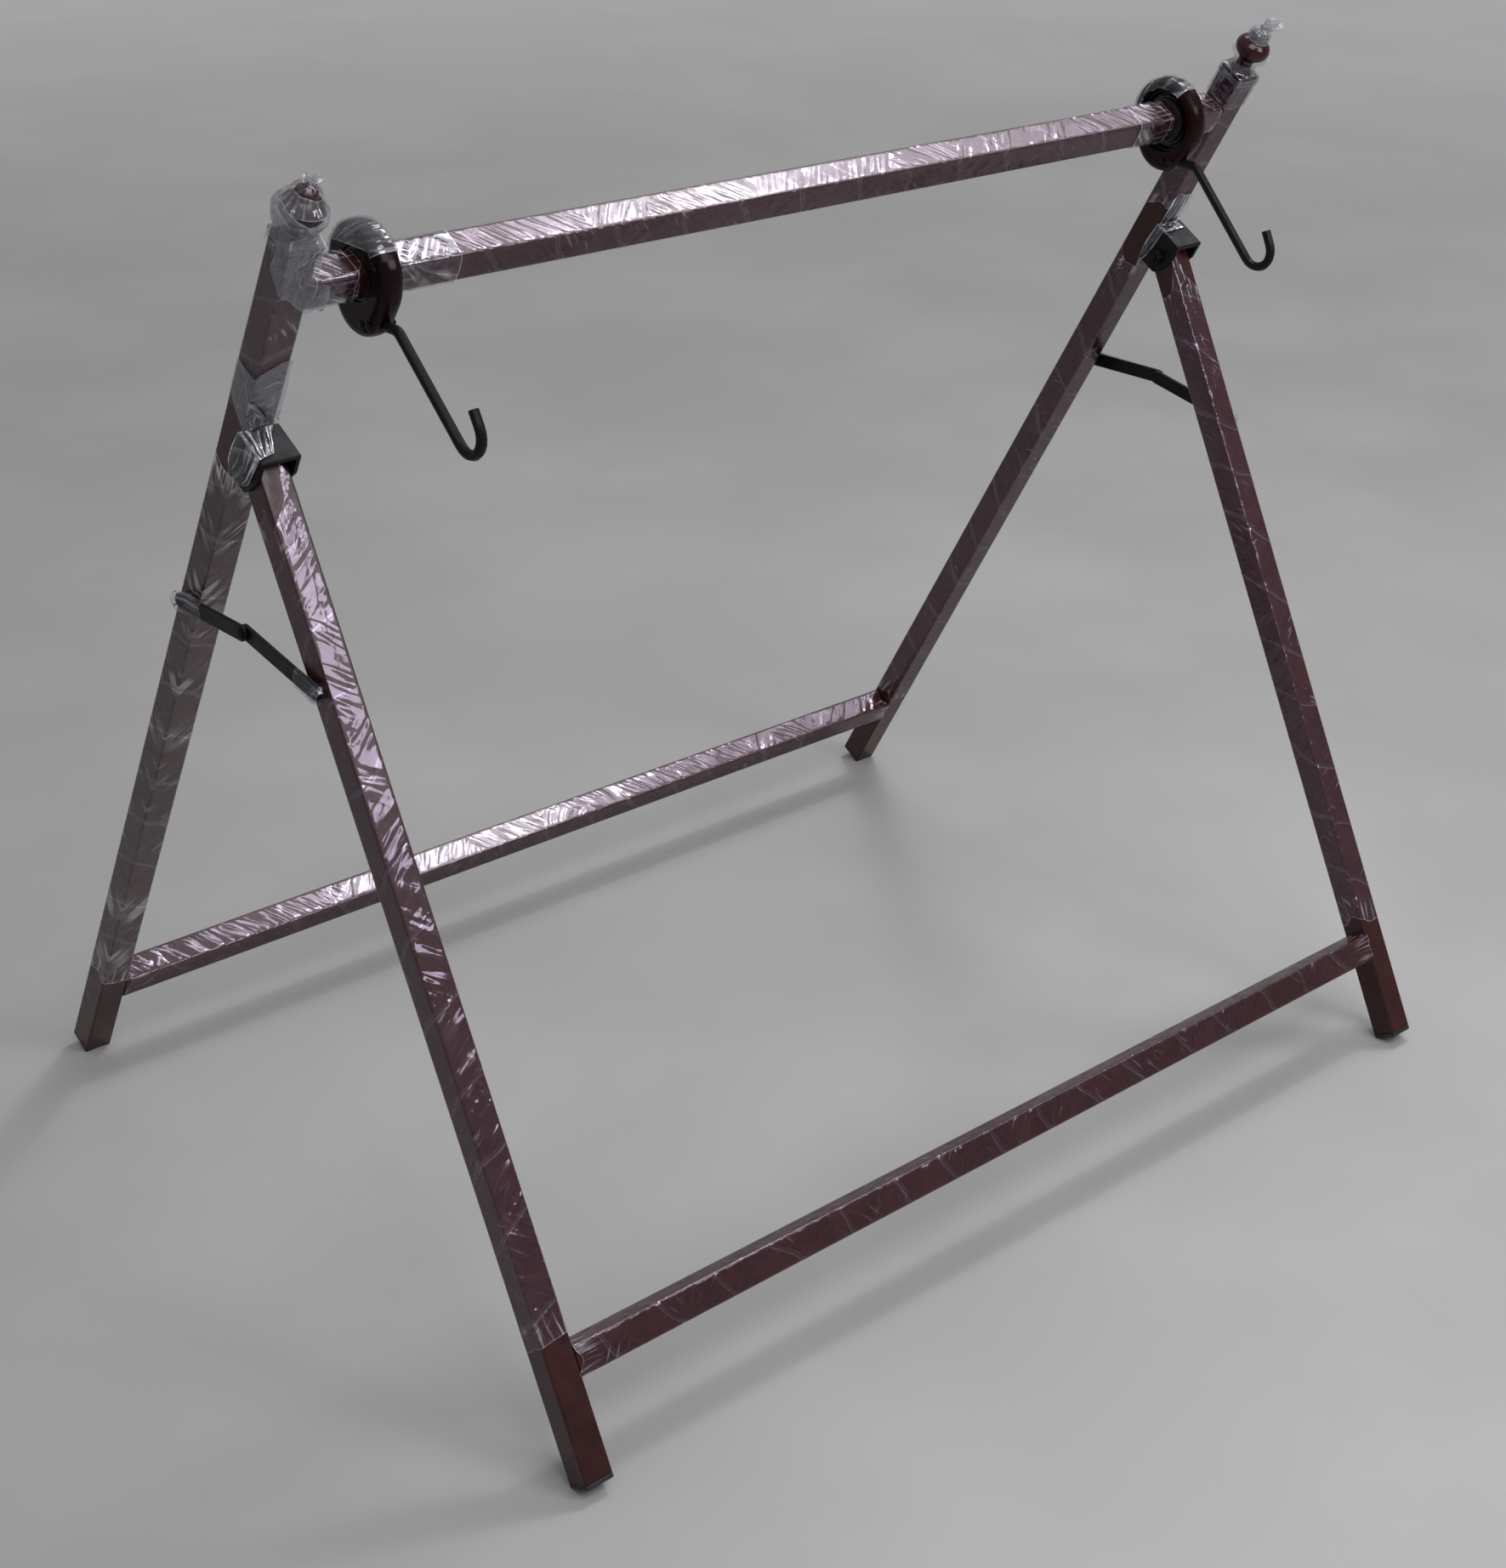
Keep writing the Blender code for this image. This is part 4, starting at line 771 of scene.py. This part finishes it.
def leg_patch(name, sign, low, high, seed):
    """A hazy layer of film on a leg's outer and front faces, drawn in to the top of the bracket below it."""
    side_share, climb, rise, pleat_height = 0.5, 0.018, 0.020, 0.0014
    u = np.linspace(0, 1, 44)[None, :]
    v = np.linspace(0, 1, 40)[:, None]
    on_side = np.clip(u / side_share, 0, 1)
    on_front = np.clip((u - side_share) / (1 - side_share), 0, 1)
    start = low + climb * (1 - on_side) ** 1.3 + 0.0012 * noise(u * 6, 0.5, seed)
    end = high + rise * on_front + 0.004 * noise(u * 5, 0.9, seed + 1)
    along = start + (end - start) * v
    ridge = pleats(v * 5.0 + u * 2.2 + 0.5 * noise(u * 3, v * 3, seed + 3), seed + 2, u * 1.6) ** 2
    lift = 0.0003 + pleat_height * ridge * np.sin(np.pi * np.clip(v, 0.1, 0.9))
    out = LOOSE_OUT - 0.0272 * on_front + lift * (1 - on_front)
    forward = -0.0100 + 0.0242 * on_side + lift * smoothstep(0.8, 1.0, on_side)
    points = on_back_leg(sign, out, forward, along)
    uv = uv_grid(u * 0.05, v * (high - low))
    return grid_piece(name, points, uv, "back_frame", BAG_FILM)


def tuft(name, sign, foot, lean, count, length, breadth, seed):
    """Torn film ends standing up from the top of a finial, as a crest of small crumpled leaves."""
    for k in range(count):
        angle = tau * k / count + 0.7 * noise(k * 1.7, 0.3, seed)
        reach = length * (0.80 + 0.25 * noise(k * 2.3, 1.1, seed + 1))
        u = np.linspace(-1, 1, 11)[None, :]
        v = np.linspace(0, 1, 11)[:, None]
        width = breadth * (0.40 + 0.60 * np.sin(np.pi * (0.12 + 0.66 * v)))
        spread = 0.0022 + 0.0035 * v ** 1.3
        ripple = 0.0018 * noise(u * 2.2 + 5 * k, v * 2.5, seed + 2) * (0.3 + v)
        out = spread + ripple
        rise = reach * v - 0.0022 * u * u * v
        x = cos(angle) * out - sin(angle) * u * width + lean[0] * v ** 1.4
        forward = sin(angle) * out + cos(angle) * u * width + lean[1] * v ** 1.4
        points = on_back_leg(sign, sign * x, forward, foot + rise)
        uv = uv_grid(rise + 0.05 * k, u * width)
        grid_piece(f"{name}_{k}", points, uv, "back_frame", BAG_FILM)


# Near a hinge bracket, side is OUTER or INNER: the cheek that the film lies on. Places up the leg are
# measured from the pivot.
OUTER, INNER = 1.0, -1.0
WEB_EDGE = 0.0258


def bracket_tent(name, sign, side, top, width, cover, reach, seed):
    """Film that comes down the leg's front face, is gathered at the root of a hinge bracket's web and
    fans out over the web. It starts top above the web, width wide, and ends reach along it, cover wide."""
    root, web_top, sink, pleat_height = 0.42, 0.0262, 0.0012, 0.0024
    u = np.linspace(0, 1, 34)[None, :]
    v = np.linspace(0, 1, 54)[:, None]
    down, over = np.clip(v / root, 0, 1), np.clip((v - root) / (1 - root), 0, 1)
    first = LOOSE_OUT + 0.0024 * smoothstep(0.5, 1.0, down)
    last = first - np.interp(v, (0, 0.7 * root, root, 1), (width, width, 0.9 * width, cover))
    last = last + 0.0015 * noise(v * 6, 0.3, seed + 4)
    out = first + (last - first) * u
    forward = LOOSE_OUT + reach * over ** 1.1 * (1 - 0.12 * u)
    along = web_top + (top + 0.005 * noise(u * 5, 0.7, seed + 6)) * (1 - down) ** 1.1
    ridge = pleats(u * 8.0 + 0.5 * noise(u * 3, v * 4, seed), seed + 1, v * 1.2) ** 2
    crush = 0.0008 * noise(u * 12, v * 24, seed + 3) * np.exp(-((v - root) / 0.12) ** 2)
    swell = 0.35 + 0.65 * np.sin(np.pi * np.clip(v, 0.05, 0.95))
    lift = 0.0004 + pleat_height * ridge * swell + crush
    on_web = smoothstep(root - 0.12, root + 0.12, v)
    forward = forward + lift * (1 - on_web)
    along = along - sink * on_web + lift * on_web
    points = on_back_leg(sign, side * out, forward, along, PIVOT_AT)
    uv = uv_grid(v * 0.08, u * 0.028)
    return grid_piece(name, points, uv + 0.23 * (seed % 5), "back_frame", TENT_FILM)


def bracket_side(name, sign, side, reach, drop, seed):
    """Film that hangs from the web's near edge over the cheek and is drawn in to the leg below it."""
    leg_front, cheek, draw, bolt_height, bolt_radius = 0.0136, 0.0170, 0.0026, 0.0060, 0.0098
    u = np.linspace(0, 1, 36)[None, :]
    v = np.linspace(0, 1, 48)[:, None]
    along = WEB_EDGE - drop * v ** 0.9
    narrow = smoothstep(0.30, 0.86, v)
    forward = leg_front + reach * u * (1 - narrow) + 0.0012 * u
    bolt = np.exp(-((forward - PIVOT_FORWARD) ** 2 + along ** 2) / bolt_radius ** 2)
    ridge = pleats(u * 7.0 + 0.4 * noise(u * 3, v * 3, seed), seed + 1, v * 1.3) ** 2
    belly = np.sin(np.pi * np.clip(v * 1.25, 0, 1))
    away = cheek - draw * narrow + bolt_height * np.maximum(bolt, 0.45 * belly)
    away = away + 0.0018 * ridge * (0.25 + 0.75 * np.sin(np.pi * v))
    points = on_back_leg(sign, side * away, forward, along, PIVOT_AT)
    uv = uv_grid(v * drop, u * reach)
    return grid_piece(name, points, uv + 0.19 * (seed % 5), "back_frame", TENT_FILM)


def bracket_seam(name, sign, side, reach, girth, seed):
    """Film bunched into a crumpled roll along the edge between a bracket's web and its near cheek. Its pale
    body is partly the bunched film's own whiteness and partly a painted highlight along that edge.
    """
    cheek, leg_front = 0.0163, 0.0145
    u = np.linspace(0, 1, 22)[None, :]
    v = np.linspace(0, 1, 46)[:, None]
    swell = girth * (0.75 + 0.45 * noise(v * 7, u * 1.5, seed) + 0.25 * noise(v * 17, u * 4, seed + 1))
    swell = swell * (0.45 + 0.55 * np.sin(np.pi * np.clip(0.15 + 0.8 * v, 0, 1)))
    angle = radians(-35) + radians(165) * u + 0.3 * noise(v * 5, 0.4, seed + 2)
    out = cheek + swell * np.cos(angle)
    along = WEB_EDGE + swell * np.sin(angle)
    forward = leg_front + reach * v + 0.0006 * noise(v * 9, u * 3, seed + 3)
    points = on_back_leg(sign, side * out, forward, along, PIVOT_AT)
    uv = uv_grid(v * reach, u * 0.008)
    return grid_piece(name, points, uv + 0.17 * (seed % 5), "back_frame", BUNCHED_HIGHLIGHT_FILM)


# Half of the film's section over a stay link, as places across it and out from its face
LINK_SECTION = [
    (-0.0076, -0.0012), (-0.0077, 0.0012), (-0.0070, 0.0026), (-0.0046, 0.0030), (-0.0023, 0.0032),
]
LINK_CREST = (0.0, 0.0033)


def stay_flap(name, body, x, pivot, sign, length, seed):
    """Film caught over the end of a stay link and its rivet. It runs from past the pivot towards the knee."""
    past_end, tip_length, rivet_height = 0.0088, 0.007, 0.0032
    run = (KNEE - pivot) / np.linalg.norm(KNEE - pivot)
    edge = np.cross(X_AXIS, run)
    section = np.array(LINK_SECTION + [LINK_CREST] + [(-w, h) for w, h in reversed(LINK_SECTION)])
    distance = np.linspace(-past_end, length, 30)[:, None]
    width, height = section[:, 0][None, :], section[:, 1][None, :]
    tip = np.clip((distance + past_end) / tip_length, 0, 1) ** 0.5
    crest = rivet_height * np.exp(-(distance / 0.0075) ** 2 - (width / 0.0068) ** 2)
    ridge = pleats(distance * 260, seed, width * 90) ** 2
    height = height + crest + 0.0007 * ridge * (height > 0.002)
    width = width * (0.55 + 0.45 * tip) * (1 + 0.05 * noise(distance * 140, 0.5, seed + 1))
    base = np.array((sign * x, pivot[1], pivot[2]))
    flat = distance[:, :, None] * run + width[:, :, None] * edge
    points = base + flat + (sign * height)[:, :, None] * X_AXIS
    uv = uv_grid(distance, width)
    return grid_piece(name, points, uv + 0.29 * (seed % 5), body, LOOSE_FILM)


hanger_cap(
    "left", start=-58, stop=64, chord=0.0208, rim_low=0.0307, inner_low=0.0268,
    gather=(0.025, 0.018), seed=311, material=CAP_FILM,
)
hanger_cap(
    "right", start=-34, stop=80, chord=0.0330, rim_low=0.0307, inner_low=0.0285,
    gather=(0.030, 0.010), seed=323, material=LOOSE_FILM,
)

# Places up the leg and radii of the film round each finial
LEFT_BAG = (
    (0.980, 0.0140), (0.9920, 0.0140), (0.9965, 0.0116), (1.0010, 0.0112), (1.0065, 0.0152),
    (1.0115, 0.0172), (1.0165, 0.0174), (1.0215, 0.0152), (1.0255, 0.0112), (1.0290, 0.0096),
    (1.0330, 0.0090), (1.0358, 0.0062), (1.0375, 0.0028), (1.0400, 0.0018),
)
LEFT_SHEATH = (
    (0.980, 0.0142), (0.9920, 0.0146), (0.9965, 0.0140), (1.0010, 0.0136), (1.0065, 0.0168),
    (1.0115, 0.0188), (1.0165, 0.0190), (1.0215, 0.0168), (1.0255, 0.0128),
)
BAND_OUT = 0.0011
LEFT_BAND = tuple((level, radius + BAND_OUT) for level, radius in LEFT_BAG)
RIGHT_NECK = (
    (0.984, 0.0140), (0.9920, 0.0140), (0.9960, 0.0116), (1.0000, 0.0096), (1.0040, 0.0114), (1.0085, 0.0162),
)
RIGHT_TOP = ((1.0255, 0.0104), (1.0285, 0.0096), (1.0325, 0.0091), (1.0352, 0.0068), (1.0372, 0.0030))
finial_bag(
    "film_finial_left", LEFT, LEFT_BAG, low=0.980, high=1.0400,
    seed=337, depth=0.0016, slack=0.0030, material=KNOB_FILM,
)
finial_bag(
    "film_sheath_left", LEFT, LEFT_SHEATH, low=0.9880, high=1.0035,
    slant=0.0190, seed=339, depth=0.0014, slack=0.0020, material=BAG_FILM,
)
finial_bag(
    "film_band_left_1", LEFT, LEFT_BAND, low=1.0095, high=1.0155,
    slant=-0.0035, seed=345, depth=0.0010, material=CAP_FILM,
)
finial_bag(
    "film_band_left_2", LEFT, LEFT_BAND, low=1.0195, high=1.0290,
    slant=0.0040, seed=346, depth=0.0012, material=CAP_FILM,
)
finial_bag(
    "film_finial_right", RIGHT, RIGHT_NECK, low=0.984, high=1.0085,
    seed=341, depth=0.0012, material=DARK_FILM,
)
finial_bag(
    "film_finial_top_right", RIGHT, RIGHT_TOP, low=1.0255, high=1.0372,
    seed=343, depth=0.0008, material=BAG_FILM,
)
tuft(
    "film_tuft_right", RIGHT, foot=1.0345, lean=(0.0085, 0.002),
    count=3, length=0.0140, breadth=0.0068, seed=347,
)
tuft(
    "film_tuft_left", LEFT, foot=1.0375, lean=(0.0015, 0.000),
    count=3, length=0.0060, breadth=0.0040, seed=353,
)
leg_top_drape("film_drape_left", LEFT, seed=355)
leg_patch("film_patch_left", LEFT, low=0.8262, high=0.872, seed=349)
collar(
    "film_collar_right", back_point(0.0, LEG_X), BACK_UP, BACK_FRONT, X_AXIS, low=0.9605, high=0.9905,
    slant=radians(8), stand=0.0018, loft=0.0024, material=DARK_FILM, seed=357,
)
for name, low, high, slant, seed in (
    ("film_bar_collar_left", -0.4672, -0.4336, radians(44), 358),
    ("film_bar_collar_near", -0.4010, -0.3480, radians(44), 361),
    ("film_bar_collar_far", 0.3620, 0.4010, radians(34), 363),
    ("film_bar_collar_right", 0.4336, 0.4672, radians(-30), 364),
):
    collar(name, *bar, low, high, slant, stand=0.0013, loft=0.0008, material=STRIPED_FILM, seed=seed)

bracket_tent(
    "film_bracket_top_left", LEFT, OUTER, top=0.014, width=0.0285, cover=0.0150, reach=0.0285, seed=359
)
bracket_seam("film_bracket_seam_left", LEFT, OUTER, reach=0.0270, girth=0.0017, seed=397)
bracket_side("film_bracket_side_left", LEFT, OUTER, reach=0.0290, drop=0.060, seed=367)
bracket_tent(
    "film_bracket_top_right", RIGHT, INNER, top=0.034, width=0.0265, cover=0.0270, reach=0.0110, seed=373
)
bracket_seam("film_bracket_seam_right", RIGHT, INNER, reach=0.0190, girth=0.0014, seed=401)
bracket_side("film_bracket_side_right", RIGHT, INNER, reach=0.0085, drop=0.060, seed=379)

for n, (side_name, sign) in enumerate(SIDES.items()):
    stay_flap(
        "film_stay_top_" + side_name, f"stay_{side_name}_upper", UPPER_LINK_FACE_X,
        back_point(STAY_TOP_AT), sign, length=0.034, seed=383 + n,
    )
    stay_flap(
        "film_stay_foot_" + side_name, f"stay_{side_name}_lower", LOWER_LINK_FACE_X,
        front_point(STAY_FOOT_AT), sign, length=0.024, seed=389 + n,
    )

# Studio. The floor is as pale far off as it is under the lamps: where that starts and ends, and by how much.
FLOOR_HALF = 14.0
FLOOR_DARK, FLOOR_PALE, FLOOR_ROUGHNESS = (0.345, 0.340, 0.332), (0.385, 0.380, 0.372), 0.45
FLOOR_NEAR, FLOOR_FAR, FLOOR_LIFT, LIFT_COLOUR = 1.5, 6.0, 0.20, (0.98, 0.98, 1.0, 1.0)
DOME_COLOUR, DOME_LOW, DOME_HIGH = (0.96, 0.97, 1.0, 1.0), 0.23, 0.42


def build_floor():
    """A wide plain floor with the faint cloud of polished stone."""
    corners = [(x * FLOOR_HALF, y * FLOOR_HALF, 0) for x, y in ((-1, -1), (1, -1), (1, 1), (-1, 1))]
    mesh = bpy.data.meshes.new("floor")
    mesh.from_pydata(corners, [], [(0, 1, 2, 3)])
    floor = bpy.data.objects.new("floor", mesh)
    scene.collection.objects.link(floor)
    material, tree, shader = new_material("pale_floor")
    where = node(tree, "ShaderNodeTexCoord").outputs["Object"]
    cloud = ramp(tree, noise_node(tree, where, 2.2, 4.0), 0.35, 0.7)
    tree.links.new(colour_mix(tree, cloud, FLOOR_DARK, FLOOR_PALE), shader.inputs["Base Color"])
    shader.inputs["Roughness"].default_value = FLOOR_ROUGHNESS
    far_off = node(tree, "ShaderNodeVectorMath", {0: where}, operation="LENGTH").outputs["Value"]
    rays = node(tree, "ShaderNodeLightPath").outputs
    seen = math_node(tree, "ADD", rays["Is Camera Ray"], rays["Is Glossy Ray"])
    seen = math_node(tree, "ADD", seen, rays["Is Transmission Ray"], clamp=True)
    lift = ramp(tree, far_off, FLOOR_NEAR, FLOOR_FAR, 0.0, FLOOR_LIFT)
    shader.inputs["Emission Color"].default_value = LIFT_COLOUR
    tree.links.new(math_node(tree, "MULTIPLY", lift, seen), shader.inputs["Emission Strength"])
    mesh.materials.append(material)
    floor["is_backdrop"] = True


def build_world():
    """A soft dome, paler overhead than at the horizon."""
    world = bpy.data.worlds.new("studio")
    world.use_nodes = True
    scene.world = world
    tree = world.node_tree
    shade = tree.nodes["Background"]
    towards = node(tree, "ShaderNodeTexCoord").outputs["Generated"]
    up = node(tree, "ShaderNodeSeparateXYZ", {"Vector": towards}).outputs["Z"]
    shade.inputs["Color"].default_value = DOME_COLOUR
    tree.links.new(ramp(tree, up, -0.1, 0.8, DOME_LOW, DOME_HIGH), shade.inputs["Strength"])


def area_light(name, place, target, size, power, colour):
    data = bpy.data.lights.new(name, "AREA")
    data.shape = "RECTANGLE"
    data.size, data.size_y = size
    data.energy = power
    data.color = colour
    lamp = bpy.data.objects.new(name, data)
    scene.collection.objects.link(lamp)
    lamp.location = place
    lamp.rotation_euler = (Vector(target) - Vector(place)).to_track_quat("-Z", "Y").to_euler()


build_floor()
build_world()
for name, place, target, size, power, colour in (
    ("key", (-0.2, -1.9, 3.0), (0.0, 0.0, 0.3), (2.2, 1.6), 50.0, (1.0, 0.985, 0.97)),
    ("ceiling", (1.45, 0.44, 3.2), (0.1, 0.0, 0.5), (1.3, 0.8), 20.0, (0.97, 0.96, 1.0)),
    ("strip", (1.56, 0.36, 3.1), (0.0, 0.1, 0.3), (0.22, 0.42), 15.0, (0.98, 0.97, 1.0)),
    ("ceiling_far", (2.65, 0.50, 3.3), (0.2, 0.0, 0.6), (1.3, 1.2), 16.0, (0.97, 0.96, 1.0)),
    ("window", (1.0, -2.45, 2.1), (0.0, 0.0, 0.5), (0.85, 0.95), 19.0, (0.94, 0.93, 1.0)),
):
    area_light(name, place, target, size, power, colour)

# Camera, fitted to the photo. The focal length and the shift are in the photo's pixels.
CAMERA_RIGHT = Vector((0.734257, -0.677756, 0.038893))
CAMERA_DOWN = Vector((-0.282754, -0.357405, -0.890119))
CAMERA_FORWARD = Vector((0.617184, 0.642579, -0.454066))
CAMERA_PLACE = (-1.34935, -1.58415, 1.35486)
IMAGE_HEIGHT = 1844
FOCAL_PIXELS = 3028.26
SHIFT_PIXELS = (-168.48, -15.85)
camera_data = bpy.data.cameras.new("camera")
camera_data.sensor_width = 36.0
camera_data.sensor_fit = "AUTO"
camera_data.lens = FOCAL_PIXELS * camera_data.sensor_width / IMAGE_HEIGHT
camera_data.shift_x = SHIFT_PIXELS[0] / IMAGE_HEIGHT
camera_data.shift_y = SHIFT_PIXELS[1] / IMAGE_HEIGHT
camera = bpy.data.objects.new("camera", camera_data)
scene.collection.objects.link(camera)
axes = Matrix((CAMERA_RIGHT, -CAMERA_DOWN, -CAMERA_FORWARD)).transposed().to_4x4()
camera.matrix_world = Matrix.Translation(CAMERA_PLACE) @ axes
scene.camera = camera

scene.view_settings.view_transform = "Standard"

low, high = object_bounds()
